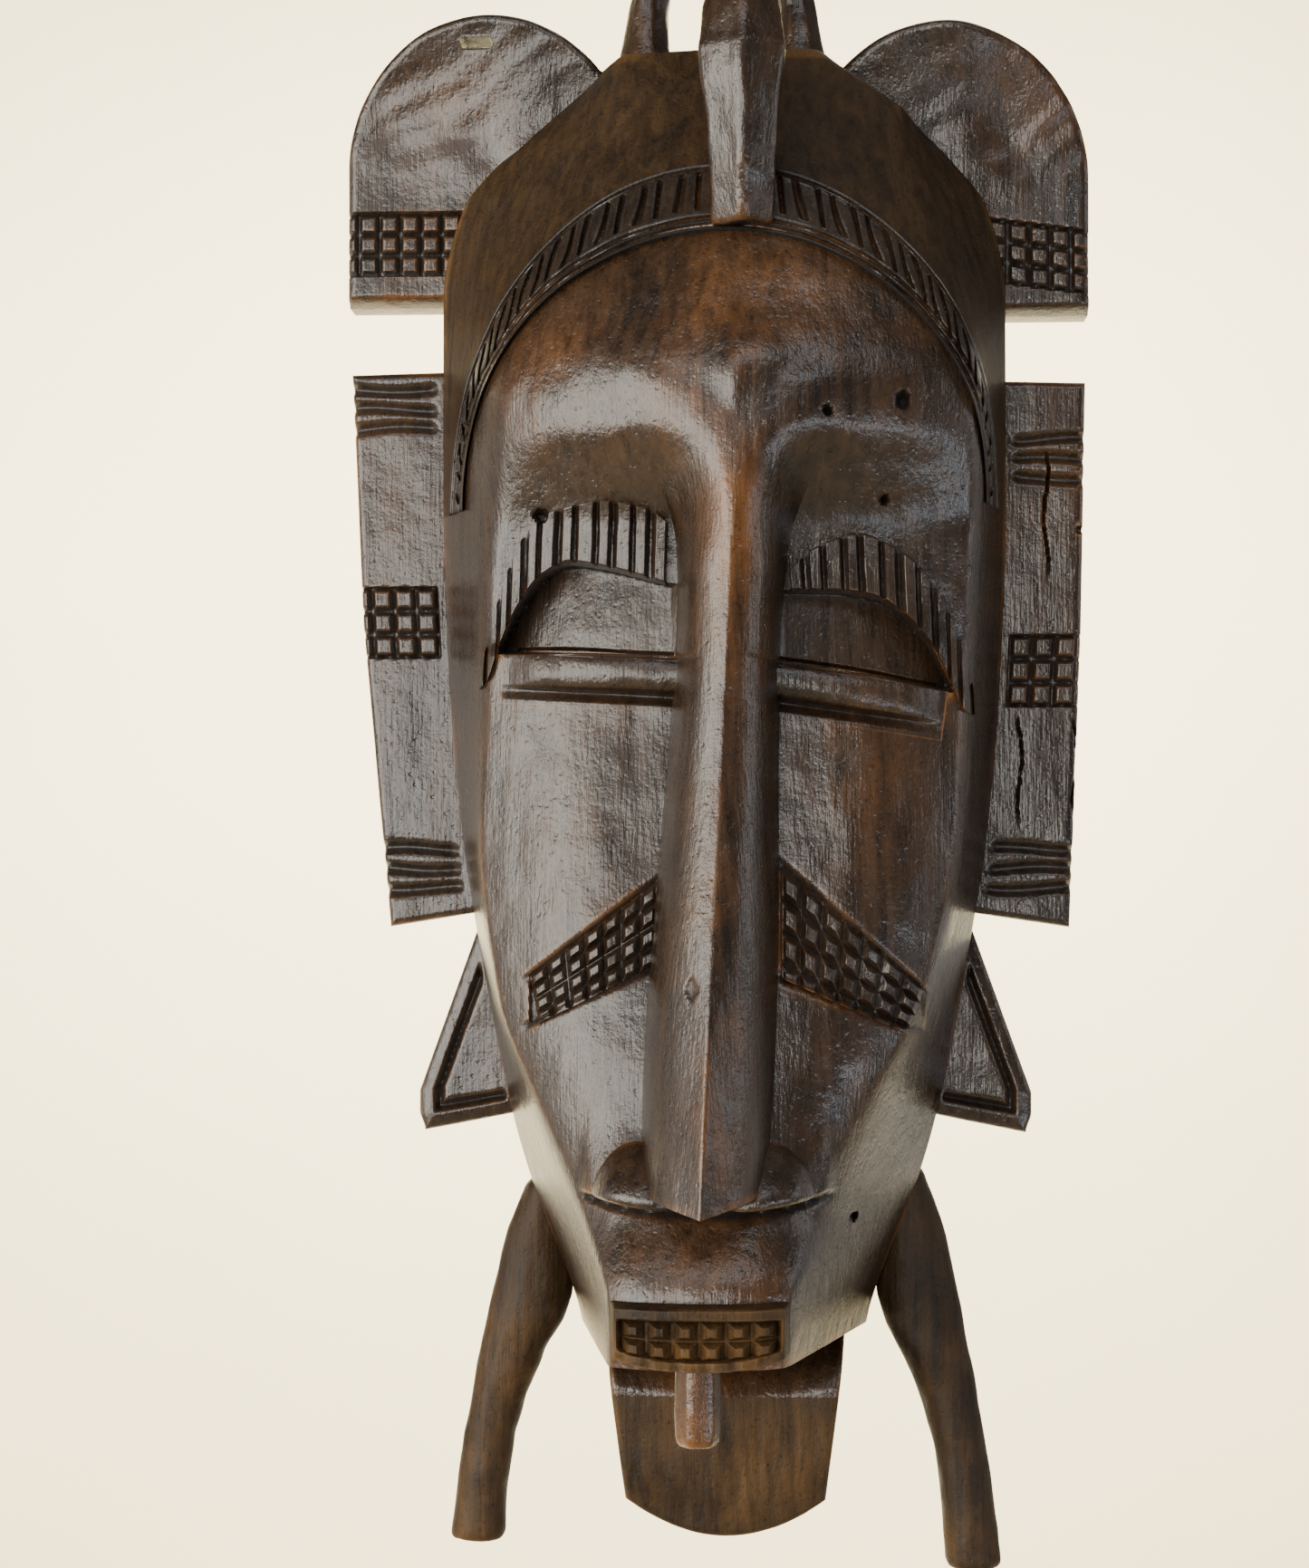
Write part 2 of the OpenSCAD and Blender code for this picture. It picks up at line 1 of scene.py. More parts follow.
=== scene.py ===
import math
import bpy
import bmesh
import numpy as np
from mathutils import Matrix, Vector


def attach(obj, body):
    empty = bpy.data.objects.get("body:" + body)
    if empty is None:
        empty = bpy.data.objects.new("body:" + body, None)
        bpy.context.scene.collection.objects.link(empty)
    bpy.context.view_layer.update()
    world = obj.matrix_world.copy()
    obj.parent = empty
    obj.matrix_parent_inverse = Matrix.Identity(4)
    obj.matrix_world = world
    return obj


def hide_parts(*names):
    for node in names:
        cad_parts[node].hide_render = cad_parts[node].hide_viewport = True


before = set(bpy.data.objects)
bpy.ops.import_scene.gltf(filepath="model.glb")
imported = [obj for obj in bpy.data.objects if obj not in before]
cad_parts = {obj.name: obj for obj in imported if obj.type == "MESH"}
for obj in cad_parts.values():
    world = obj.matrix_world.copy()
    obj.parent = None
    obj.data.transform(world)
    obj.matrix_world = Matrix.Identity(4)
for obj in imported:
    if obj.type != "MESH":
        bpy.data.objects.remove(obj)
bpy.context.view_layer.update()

FINE = 1.0

# Sizes in millimetres, as in the CAD: heights are shares of the face from the jaw to the crown's rim.
TOP, HEIGHT, HALF = 10.0, 275.0, 62.0
JAW = TOP - HEIGHT
BROW, CROWN, RIM, WALL = 62.0, 25.0, 12.0, 9.0
TEMPLE = JAW + 0.64 * HEIGHT
EYE = JAW + 0.523 * HEIGHT
NOSE_TIP = JAW + 0.125 * HEIGHT
MOUTH = JAW + 0.048 * HEIGHT
LEAN = math.tan(math.radians(2.5))
SLOT_X, SLOT_Z, SLOT_HALF, SLOT_R = -54.1, 15.0, 2.6, 1.25
LEFT, RIGHT = -1, 1


def at(share):
    return JAW + share * HEIGHT


def n_of(count):
    return max(6, int(count * FINE))


def curve(table):
    """A smooth curve through the table's points that never overshoots them."""
    x = np.array([p[0] for p in table], float)
    y = np.array([p[1] for p in table], float)
    d = np.diff(y) / np.diff(x)
    m = np.zeros(len(x))
    m[0], m[-1] = d[0], d[-1]
    same = d[:-1] * d[1:] > 0
    m[1:-1][same] = 2 * d[:-1][same] * d[1:][same] / (d[:-1] + d[1:])[same]
    fine = np.linspace(x[0], x[-1], 600)
    i = np.clip(np.searchsorted(x, fine, side="right") - 1, 0, len(d) - 1)
    h = x[i + 1] - x[i]
    t = (fine - x[i]) / h
    out = (2 * t**3 - 3 * t**2 + 1) * y[i] + (t**3 - 2 * t**2 + t) * h * m[i]
    out += (3 * t**2 - 2 * t**3) * y[i + 1] + (t**3 - t**2) * h * m[i + 1]
    return lambda v: np.interp(v, fine, out)


def step(a, b, v):
    t = np.clip((v - a) / (b - a), 0, 1)
    return t * t * (3 - 2 * t)


def noise(x, z, size, seed):
    """Smooth noise from 0 to 1, with cells of that size in millimetres."""
    cells = np.random.default_rng(seed).random((64, 64))
    u, v = np.asarray(x) / size + 31.3, np.asarray(z) / size + 47.7
    iu, iv = np.floor(u).astype(int), np.floor(v).astype(int)
    fu, fv = step(0, 1, u - iu), step(0, 1, v - iv)
    a, b = cells[iu % 64, iv % 64], cells[(iu + 1) % 64, iv % 64]
    c, d = cells[iu % 64, (iv + 1) % 64], cells[(iu + 1) % 64, (iv + 1) % 64]
    return (a * (1 - fu) + b * fu) * (1 - fv) + (c * (1 - fu) + d * fu) * fv


def ridge(phase, flat=0.62):
    """1 on a bar, 0 in the groove between two bars."""
    a = np.abs(phase - np.floor(phase) - 0.5) * 2
    return 1 - step(flat, 1, a)


def box_mask(v, half, soft):
    return 1 - step(half - soft, half + soft, np.abs(v))


# The face's surface ------------------------------------------------------------
OUTLINE = curve([(0, 0.50), (0.015, 0.516), (0.116, 0.685), (0.167, 0.75), (0.316, 0.88), (0.371, 0.92),
    (0.509, 0.976), (0.655, 1), (0.82, 1), (0.847, 0.985), (0.895, 0.92), (0.925, 0.82), (0.95, 0.70),
    (0.975, 0.56), (0.99, 0.47), (1, 0.42)])
MID = curve([(0, 1.13), (0.048, 1.16), (0.12, 1.016), (0.182, 0.95), (0.291, 0.87), (0.4, 0.806),
    (0.516, 0.774), (0.618, 0.81), (0.66, 0.91), (0.69, 0.985), (0.72, 1), (0.782, 0.93), (0.847, 0.806),
    (0.895, 0.69)])
EDGE = curve([(0, 1.07), (0.048, 1.09), (0.106, 0.88), (0.182, 0.75), (0.291, 0.665), (0.516, 0.6),
    (0.618, 0.62), (0.713, 0.72), (0.782, 0.68), (0.847, 0.60), (0.895, 0.55)])
EDGE_X = curve([(0, 0.285), (0.048, 0.30), (0.106, 0.40), (0.182, 0.57), (0.262, 0.72), (0.404, 0.82),
    (0.578, 0.83), (0.713, 0.81), (0.782, 0.75), (0.847, 0.66), (0.91, 0.56), (1, 0.5)])
EYES = {LEFT: (-26.5, EYE - 0.3), RIGHT: (28.5, EYE - 4.6)}
TILT = {LEFT: math.radians(-3.5), RIGHT: math.radians(-8)}
# Each brow: shares outwards from the nose, with its top and bottom edge above the eye line.
BROW_X = {LEFT: (-10.5, -51.5), RIGHT: (14.0, 54.0)}
BROW_TOP = {
    LEFT: curve([(0, 26.5), (0.1, 29.5), (0.35, 31.5), (0.6, 30), (0.75, 25.5), (0.85, 17.5), (0.93, 7),
        (1, -4)]),
    RIGHT: curve([(0, 20.5), (0.14, 25.5), (0.38, 28.5), (0.6, 25), (0.75, 19.5), (0.86, 12), (0.94, 4),
        (1, -5)]),
}
BROW_LOW = {
    LEFT: curve([(0, 13.5), (0.35, 17.5), (0.5, 18.5), (0.65, 16), (0.78, 9.5), (0.87, 2), (0.94, -6),
        (1, -8)]),
    RIGHT: curve([(0, 16), (0.26, 16), (0.45, 15), (0.6, 11.5), (0.74, 5.5), (0.84, -2), (0.92, -8.5),
        (1, -9.5)]),
}
# Corners of the cheek marks: outer top, inner top, outer bottom, inner bottom.
CHEEKS = {
    LEFT: ((-39.5, -188.5), (-12.5, -168.5), (-37.5, -198.5), (-13, -186)),
    RIGHT: ((42.5, -191.5), (12.5, -165.5), (39, -200.5), (12.5, -188.5)),
}
WORM_HOLES = [(37.5, -70.5, 1.6), (22, -73.5, 0.9), (34, -90, 0.9), (-37.5, -92.5, 1.5), (27.5, -238.5, 0.9)]


def half_w(z):
    return HALF * OUTLINE((z - JAW) / HEIGHT)


def lean_x(z):
    return LEAN * (z - EYE + 25)


def base_depth(x, z):
    s = (z - JAW) / HEIGHT
    over = np.clip((s - 0.895) / 0.105, 0, 1)
    mid = BROW * MID(s) * (1 - over) + (CROWN + 3) * over
    edge = BROW * EDGE(s) * (1 - over) + CROWN * over
    edge_x = HALF * EDGE_X(s)
    centre = lean_x(z) + step(0.15, 0.05, s)
    u = np.minimum(np.abs(x - centre) / edge_x, 1.15)
    flat = u ** (2.0 + 0.9 * step(0.62, 0.5, s) + 0.8 * step(0.1, 0.05, s))
    front = mid - (mid - edge) * flat
    slope = (edge - RIM) / np.maximum(half_w(z) - edge_x - np.sign(x) * centre, 4)
    side = RIM + (half_w(z) - np.abs(x)) * slope
    r = 5.5 - 2.5 * step(0.16, 0.08, s)
    h = np.maximum(r - np.abs(front - side), 0) / r
    return np.maximum(RIM, np.minimum(front, side) - h * h * r / 4)


def eye_frame(side, x, z):
    """Distances along and across the eye slit."""
    cx, cz = EYES[side]
    c, s = math.cos(TILT[side]), math.sin(TILT[side])
    return (x - cx) * c + (z - cz) * s, -(x - cx) * s + (z - cz) * c


def brow_level(side, x, z):
    """Millimetres above the brow's lower edge, and the share outwards along the brow."""
    near, far = BROW_X[side]
    u = (x - near) / (far - near)
    line = EYE - (0 if side == LEFT else 4)
    return z - line - BROW_LOW[side](np.clip(u, 0, 1)), u


def cheek_frame(side, x, z):
    """Shares along (0 inner to 1 outer) and down (0 top to 1 bottom) the cheek marks."""
    ot, it, ob, ib = [np.array(p) for p in CHEEKS[side]]
    a = (x - it[0]) / (ot[0] - it[0])
    top = it[1] + (ot[1] - it[1]) * a
    low = ib[1] + (ob[1] - ib[1]) * a
    return a, (top - z) / np.maximum(top - low, 1)


def skin(x, z):
    """Depth of the carved face, with its hollows, marks and holes."""
    d = base_depth(x, z)
    inside = step(0, 6, half_w(z) - np.abs(x))
    forehead = step(-85, -70, z) * (1 - step(-68, -46, z))
    d += 2.3 * np.exp(-np.abs(x - lean_x(z)) / 7) * forehead
    for side in (LEFT, RIGHT):
        a, b = eye_frame(side, x, z)
        over, u = brow_level(side, x, z)
        outer = side * a
        inside_brow = step(0.6, -0.2, over) * step(-0.06, 0.0, u) * step(1.03, 0.97, u)
        upper = inside_brow * step(-1.0, 0.3, b)
        d -= upper * (1.2 + 1.2 * step(2, 26, b) + 0.17 * (outer + 16))
        shelf = step(1.2, 0.8, u) * step(-0.25, 0, u) * step(-2, 2, b)
        d -= 1.6 * np.exp(-((over - 6) / 14) ** 2) * shelf
        lid = step(20.5, 17, outer) * step(-24, -21, outer) * (1 - 0.7 * step(2, 18, outer))
        d -= 2.7 * step(-10.6, -8.4, b) * step(-0.3, -1.0, b) * lid
        p, q = cheek_frame(side, x, z)
        d -= 1.3 * box_mask(p - 0.5, 0.49, 0.015) * box_mask(q - 0.5, 0.49, 0.04)
        rim = (np.exp(-((q / 0.05) ** 2)) + np.exp(-(((q - 1) / 0.05) ** 2))) * box_mask(p - 0.5, 0.54, 0.03)
        d -= 0.8 * rim
        d += 0.75 * np.exp(-(((np.abs(x) - 30) / 12) ** 2) - ((z + 160) / 30) ** 2)
    step_z = NOSE_TIP - 1.0 - 2.8 * (1 - ((x + 2.5) / 25) ** 2)
    line = box_mask(x + 2.5, 25, 1.6)
    d += 1.6 * step(-1.0, 0.2, z - step_z) * (1 - step(3, 15, z - step_z)) * line
    d -= 1.3 * np.exp(-(((z - step_z + 0.8) / 0.75) ** 2)) * line
    for hx, hz, r in WORM_HOLES:
        far = np.hypot(x - hx, z - hz) + 0.5 * (noise(x, z, 1.2, 5) - 0.5)
        d -= 3.5 * (1 - step(r * 0.6, r * 1.2, far))
    d += inside * (0.7 * (noise(x, z, 11, 1) - 0.5) + 0.3 * (noise(x, z * 0.6, 4, 2) - 0.5))
    return d


# Mesh building -----------------------------------------------------------------
collection = bpy.context.scene.collection
# Where the stain is worn to warm brown: centre x and z, half width, half height and strength.
WARM = [(-22, -66, 20, 14, 0.8), (8, -52, 26, 16, 0.55), (0, -66, 14, 14, 0.8), (4, -96, 6, 38, 1.0),
    (-5, -190, 3, 4, 1.0), (0, -200, 6, 40, 0.6), (26, -150, 12, 26, 0.55), (-24, -150, 10, 22, 0.25),
    (-2, -245, 22, 7, 0.5), (-4, -262, 20, 6, 0.9), (-6, -276, 7, 12, 0.9), (22, -212, 8, 12, 0.3),
    (52, -300, 10, 26, 0.8), (-52, -298, 10, 26, 0.7), (-46, -275, 8, 12, 0.6), (0, -297, 30, 18, 0.6),
    (-70, -100, 10, 40, 0.2), (72, -80, 10, 40, 0.3), (-62, 0, 18, 14, 0.3), (66, 0, 14, 14, 0.3)]


def curvature(co, normals, edges, steps):
    """How far each point stands out of its smoothed neighbourhood, in millimetres."""
    deg = np.bincount(edges.ravel(), minlength=len(co)).astype(float)
    q = co.copy()
    for _ in range(steps):
        acc = np.empty_like(q)
        for k in range(3):
            acc[:, k] = np.bincount(edges[:, 0], q[edges[:, 1], k], len(co))
            acc[:, k] += np.bincount(edges[:, 1], q[edges[:, 0], k], len(co))
        q = 0.4 * q + 0.6 * acc / np.maximum(deg, 1)[:, None]
    return ((co - q) * normals).sum(1)


def finish_piece(obj, material, body="mask", nodes=(), steps=14, sharp=50, warm=1.0):
    """Smooth shading, the wear and grime attribute, the material, and the body it rides on."""
    me = obj.data
    me.materials.clear()
    me.materials.append(material)
    me.polygons.foreach_set("use_smooth", np.ones(len(me.polygons), bool))
    me.set_sharp_from_angle(angle=math.radians(sharp))
    co = np.empty(len(me.vertices) * 3)
    me.vertices.foreach_get("co", co)
    co = co.reshape(-1, 3) * 1000
    normals = np.empty(len(me.vertices) * 3)
    me.vertex_normals.foreach_get("vector", normals)
    edges = np.empty(len(me.edges) * 2, int)
    me.edges.foreach_get("vertices", edges)
    k = curvature(co, normals.reshape(-1, 3), edges.reshape(-1, 2), steps)
    data = np.ones((len(co), 4), np.float32)
    data[:, 0] = np.clip(k / 0.45 - 0.08, 0, 1)
    data[:, 1] = np.clip(-k / 0.3, 0, 1)
    for x, z, r in WORM_HOLES:
        data[:, 0] *= step(r * 1.6, r * 3, np.hypot(co[:, 0] - x, co[:, 2] - z))
    spot = np.zeros(len(co))
    for x, z, rx, rz, strength in WARM:
        spot = np.maximum(spot, strength * np.exp(-(((co[:, 0] - x) / rx) ** 2) - ((co[:, 2] - z) / rz) ** 2))
    facing = step(0.1, 0.6, -normals.reshape(-1, 3)[:, 1])
    data[:, 2] = np.clip(spot * warm * facing, 0, 1)
    attribute = me.attributes.new("finish", "FLOAT_COLOR", "POINT")
    attribute.data.foreach_set("color", data.ravel())
    if nodes:
        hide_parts(*nodes)
    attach(obj, body)
    return obj


def mesh_object(name, points, faces):
    me = bpy.data.meshes.new(name)
    me.from_pydata([tuple(p) for p in np.asarray(points) * 0.001], [], faces)
    me.update()
    obj = bpy.data.objects.new(name, me)
    collection.objects.link(obj)
    return obj


def grid_faces(rows, cols, start=0, keep=None, flip=False):
    idx = np.arange(rows * cols).reshape(rows, cols) + start
    q = np.stack([idx[:-1, :-1], idx[:-1, 1:], idx[1:, 1:], idx[1:, :-1]], -1)
    if flip:
        q = q[..., ::-1]
    q = q.reshape(-1, 4)
    return (q if keep is None else q[keep.ravel()]).tolist()


def border_of(rows, cols):
    i = np.arange(rows * cols).reshape(rows, cols)
    return np.concatenate([i[0, :-1], i[:-1, -1], i[-1, :0:-1], i[:0:-1, 0]])


def raised_grid(name, x, z, depth, back):
    """A front surface on a grid, with walls back to a second depth. Depths are positive towards the front."""
    rows, cols = x.shape
    front = np.stack([x, -depth, z], -1).reshape(-1, 3)
    border = border_of(rows, cols)
    rear = front[border].copy()
    rear[:, 1] = -back.ravel()[border]
    faces = grid_faces(rows, cols)
    m, n = len(border), rows * cols
    faces += [[n + i, n + (i + 1) % m, int(border[(i + 1) % m]), int(border[i])] for i in range(m)]
    return mesh_object(name, np.concatenate([front, rear]), faces)


def spread(n, ends=0.35):
    """Shares from 0 to 1, closer together at both ends."""
    t = np.linspace(0, 1, n)
    return t * (1 - ends) + ends * (0.5 - 0.5 * np.cos(math.pi * t))


def applied(obj):
    """The object with its modifiers made real."""
    bpy.context.view_layer.update()
    deps = bpy.context.evaluated_depsgraph_get()
    me = bpy.data.meshes.new_from_object(obj.evaluated_get(deps))
    obj.modifiers.clear()
    obj.data = me
    return obj


def roughen(obj, amount, size, seed):
    """Uneven hand carving: moves each point along its normal by smooth noise, in millimetres."""
    me = obj.data
    co = np.empty(len(me.vertices) * 3)
    me.vertices.foreach_get("co", co)
    co = co.reshape(-1, 3)
    nr = np.empty(len(me.vertices) * 3)
    me.vertex_normals.foreach_get("vector", nr)
    nr = nr.reshape(-1, 3)
    p = co * 1000
    wave = noise(p[:, 0] + p[:, 1] * 0.7, p[:, 2], size, seed) - 0.5
    wave += 0.5 * (noise(p[:, 0] - p[:, 1], p[:, 2] * 0.7, size * 0.4, seed + 1) - 0.5)
    co += nr * (wave * amount * 0.001)[:, None]
    me.vertices.foreach_set("co", co.ravel())
    me.update()
    return obj


def carved_loft(name, rings, bevel=1.2, levels=2, rough=0.5):
    """A whittled form: facets through the rings, with softened edges and an uneven surface."""
    n, m = len(rings[0]), len(rings)
    points = np.array([p for r in rings for p in r], float)
    faces = [[i * n + j, i * n + (j + 1) % n, (i + 1) * n + (j + 1) % n, (i + 1) * n + j]
        for i in range(m - 1) for j in range(n)]
    faces += [list(range(n))[::-1], [(m - 1) * n + j for j in range(n)]]
    obj = mesh_object(name, points, faces)
    bm = bmesh.new()
    bm.from_mesh(obj.data)
    bmesh.ops.recalc_face_normals(bm, faces=bm.faces)
    bm.to_mesh(obj.data)
    bm.free()
    b = obj.modifiers.new("edges", "BEVEL")
    b.width = bevel * 0.001
    b.segments = 3
    b.limit_method = "ANGLE"
    b.angle_limit = math.radians(14)
    r = obj.modifiers.new("even", "REMESH")
    r.mode = "VOXEL"
    r.voxel_size = 0.0007 if FINE == 1 else 0.0012
    s = obj.modifiers.new("soft", "SMOOTH")
    s.factor = 0.5
    s.iterations = levels
    applied(obj)
    return roughen(obj, rough, 7, 11)


# Materials ---------------------------------------------------------------------
def new_material(name):
    mat = bpy.data.materials.new(name)
    mat.use_nodes = True
    nt = mat.node_tree
    nt.nodes.clear()

    def add(kind, inputs=None, **props):
        node = nt.nodes.new(kind)
        for k, v in props.items():
            setattr(node, k, v)
        for k, v in (inputs or {}).items():
            if isinstance(v, bpy.types.NodeSocket):
                nt.links.new(v, node.inputs[k])
            else:
                node.inputs[k].default_value = v
        return node

    return mat, add


def ramp(add, value, stops):
    node = add("ShaderNodeValToRGB", {"Fac": value})
    el = node.color_ramp.elements
    while len(el) < len(stops):
        el.new(0.5)
    for e, (pos, col) in zip(el, stops):
        e.position = pos
        e.color = (*col, 1)
    return node.outputs["Color"]


def blend_colour(add, fac, a, b, mode="MIX"):
    node = add("ShaderNodeMix", data_type="RGBA", blend_type=mode)
    tree = node.id_data
    for key, v in ((0, fac), (6, a), (7, b)):
        if isinstance(v, bpy.types.NodeSocket):
            tree.links.new(v, node.inputs[key])
        else:
            node.inputs[key].default_value = v
    return node.outputs[2]


def maths(add, op, a, b=0.0, clamp=False):
    return add("ShaderNodeMath", {0: a, 1: b}, operation=op, use_clamp=clamp).outputs[0]


def wood_material(name, dark, mid, worn, gloss, wear, shine=0.5):
    """Stained wood: streaks along the grain, rubbed edges, dark cuts, worn patches and fine tool marks."""
    mat, add = new_material(name)
    place = add("ShaderNodeTexCoord").outputs["Object"]
    along = add("ShaderNodeMapping", {"Vector": place, "Scale": (1, 1, 0.07)}).outputs["Vector"]
    streak = add("ShaderNodeTexNoise", {"Vector": along, "Scale": 420.0, "Detail": 6.0, "Roughness": 0.62,
        "Distortion": 0.4}).outputs["Fac"]
    fibre = add("ShaderNodeTexNoise", {"Vector": along, "Scale": 1500.0, "Detail": 3.0,
        "Roughness": 0.6}).outputs["Fac"]
    cloud = add("ShaderNodeTexNoise", {"Vector": place, "Scale": 38.0, "Detail": 5.0,
        "Roughness": 0.6}).outputs["Fac"]
    speck = add("ShaderNodeTexNoise", {"Vector": place, "Scale": 1100.0, "Detail": 2.0,
        "Roughness": 0.7}).outputs["Fac"]
    fleck = add("ShaderNodeTexVoronoi", {"Vector": place, "Scale": 520.0}, feature="F1").outputs["Distance"]
    fin = add("ShaderNodeAttribute", attribute_name="finish").outputs["Color"]
    parts = add("ShaderNodeSeparateColor", {"Color": fin})
    edge, pit, warm = parts.outputs[0], parts.outputs[1], parts.outputs[2]
    tone = maths(add, "ADD", maths(add, "MULTIPLY", streak, 0.65), maths(add, "MULTIPLY", cloud, 0.35))
    body = ramp(add, tone, [(0.36, dark), (0.62, mid)])
    patch = maths(add, "MULTIPLY", warm, ramp(add, cloud, [(0.40, (0.1,) * 3), (0.62, (1,) * 3)]))
    patch = maths(add, "MULTIPLY", patch, ramp(add, streak, [(0.30, (0.35,) * 3), (0.62, (1,) * 3)]), True)
    body = blend_colour(add, maths(add, "MULTIPLY", patch, 0.62), body, (*worn, 1))
    rub = maths(add, "MULTIPLY", edge, ramp(add, cloud, [(0.44, (0.08,) * 3), (0.64, (1,) * 3)]))
    rubbed = (*[min(1, c * 1.25) for c in worn], 1)
    body = blend_colour(add, maths(add, "MULTIPLY", rub, wear, True), body, rubbed)
    dots = ramp(add, speck, [(0.30, (0.25,) * 3), (0.42, (1,) * 3)])
    body = blend_colour(add, 0.75, body, dots, "MULTIPLY")
    body = blend_colour(add, maths(add, "MULTIPLY", pit, 0.9, True), body, (0.004, 0.003, 0.0025, 1))
    rough = maths(add, "ADD", maths(add, "MULTIPLY", streak, 0.18), gloss - 0.09)
    rough = maths(add, "ADD", rough, maths(add, "MULTIPLY", speck, 0.10))
    rough = maths(add, "ADD", rough, maths(add, "MULTIPLY", pit, 0.3), True)
    height = maths(add, "ADD", maths(add, "MULTIPLY", streak, 0.5), maths(add, "MULTIPLY", fibre, 0.35))
    holes = ramp(add, fleck, [(0.10, (0,) * 3), (0.26, (1,) * 3)])
    height = maths(add, "ADD", height, maths(add, "MULTIPLY", holes, 0.16))
    height = maths(add, "ADD", height, maths(add, "MULTIPLY", speck, 0.3))
    tool = add("ShaderNodeTexNoise", {"Vector": place, "Scale": 190.0, "Detail": 2.0}).outputs["Fac"]
    height = maths(add, "ADD", height, maths(add, "MULTIPLY", tool, 0.9))
    bump = add("ShaderNodeBump", {"Height": height, "Strength": 0.62, "Distance": 0.00055}).outputs["Normal"]
    shader = add("ShaderNodeBsdfPrincipled", {"Base Color": body, "Roughness": rough, "Normal": bump,
        "Specular IOR Level": shine, "Coat Weight": shine - 0.25, "Coat Roughness": 0.24,
        "Coat Normal": bump})
    add("ShaderNodeOutputMaterial", {"Surface": shader.outputs[0]})
    return mat


def metal_material():
    mat, add = new_material("aged_brass")
    place = add("ShaderNodeTexCoord").outputs["Object"]
    cloud = add("ShaderNodeTexNoise", {"Vector": place, "Scale": 500.0, "Detail": 4.0}).outputs["Fac"]
    body = ramp(add, cloud, [(0.35, (0.14, 0.08, 0.03)), (0.55, (0.55, 0.38, 0.15)),
        (0.75, (0.72, 0.55, 0.28))])
    rough = maths(add, "ADD", maths(add, "MULTIPLY", cloud, 0.3), 0.2)
    bump = add("ShaderNodeBump", {"Height": cloud, "Strength": 0.3, "Distance": 0.0001}).outputs["Normal"]
    shader = add("ShaderNodeBsdfPrincipled", {"Base Color": body, "Roughness": rough, "Normal": bump,
        "Metallic": 1.0})
    add("ShaderNodeOutputMaterial", {"Surface": shader.outputs[0]})
    return mat


DARK = wood_material("stained_wood", (0.0085, 0.0045, 0.0025), (0.036, 0.0185, 0.0085), (0.22, 0.082, 0.017),
    gloss=0.25, wear=0.65)
CARVED = wood_material("carved_detail", (0.0075, 0.004, 0.0025), (0.032, 0.017, 0.008), (0.19, 0.075, 0.02),
    gloss=0.29, wear=0.6)
MATT = wood_material("matt_wood", (0.011, 0.0055, 0.0018), (0.042, 0.021, 0.0065), (0.17, 0.082, 0.022),
    gloss=0.5, wear=0.4, shine=0.25)
BRASS = metal_material()


# Carved pieces -----------------------------------------------------------------
def slab(name, x, z, front, rear, keep=None):
    """A solid between two surfaces on the same grid, with walls around its border."""
    rows, cols = x.shape
    n = rows * cols
    f = np.stack([x, -front, z], -1).reshape(-1, 3)
    r = np.stack([x, -rear, z], -1).reshape(-1, 3)
    b = border_of(rows, cols)
    faces = grid_faces(rows, cols, keep=keep) + grid_faces(rows, cols, n, keep, True)
    m = len(b)
    faces += [[n + int(b[i]), n + int(b[(i + 1) % m]), int(b[(i + 1) % m]), int(b[i])] for i in range(m)]
    return mesh_object(name, np.concatenate([f, r]), faces)


def edge_fall(u_mm, v_mm, r):
    """How far a plate's face drops near its border, as a rounded edge of radius r."""
    d = np.clip(np.minimum(u_mm, v_mm), 0, r)
    return r - np.sqrt(np.maximum(r * r - (r - d) ** 2, 0))


def hollow_depth(x, z):
    high, low = at(0.851), at(0.09)
    dome = (half_w(TEMPLE) - 11) * np.sqrt(np.clip(1 - ((z - TEMPLE) / (high - TEMPLE)) ** 2, 0.02, 1))
    w = np.where(z < TEMPLE, half_w(z) - 11, dome)
    d = np.minimum((w - np.abs(x)) * 2 + 1, base_depth(x, z) - WALL * 1.1)
    d = np.minimum(d, np.minimum(z - low, high - z) * 2 + 2)
    chips = 1.1 * (noise(x, z * 0.7, 8, 21) - 0.5) + 0.5 * (noise(x, z, 3.5, 22) - 0.5)
    d = np.where(d > 0, np.maximum(d + chips * step(0, 8, d), 0), 0)
    recess = box_mask(x, 10.8, 0.25) * box_mask(z + 10.3, 14.9, 0.25) * 4
    return np.maximum(d, recess)


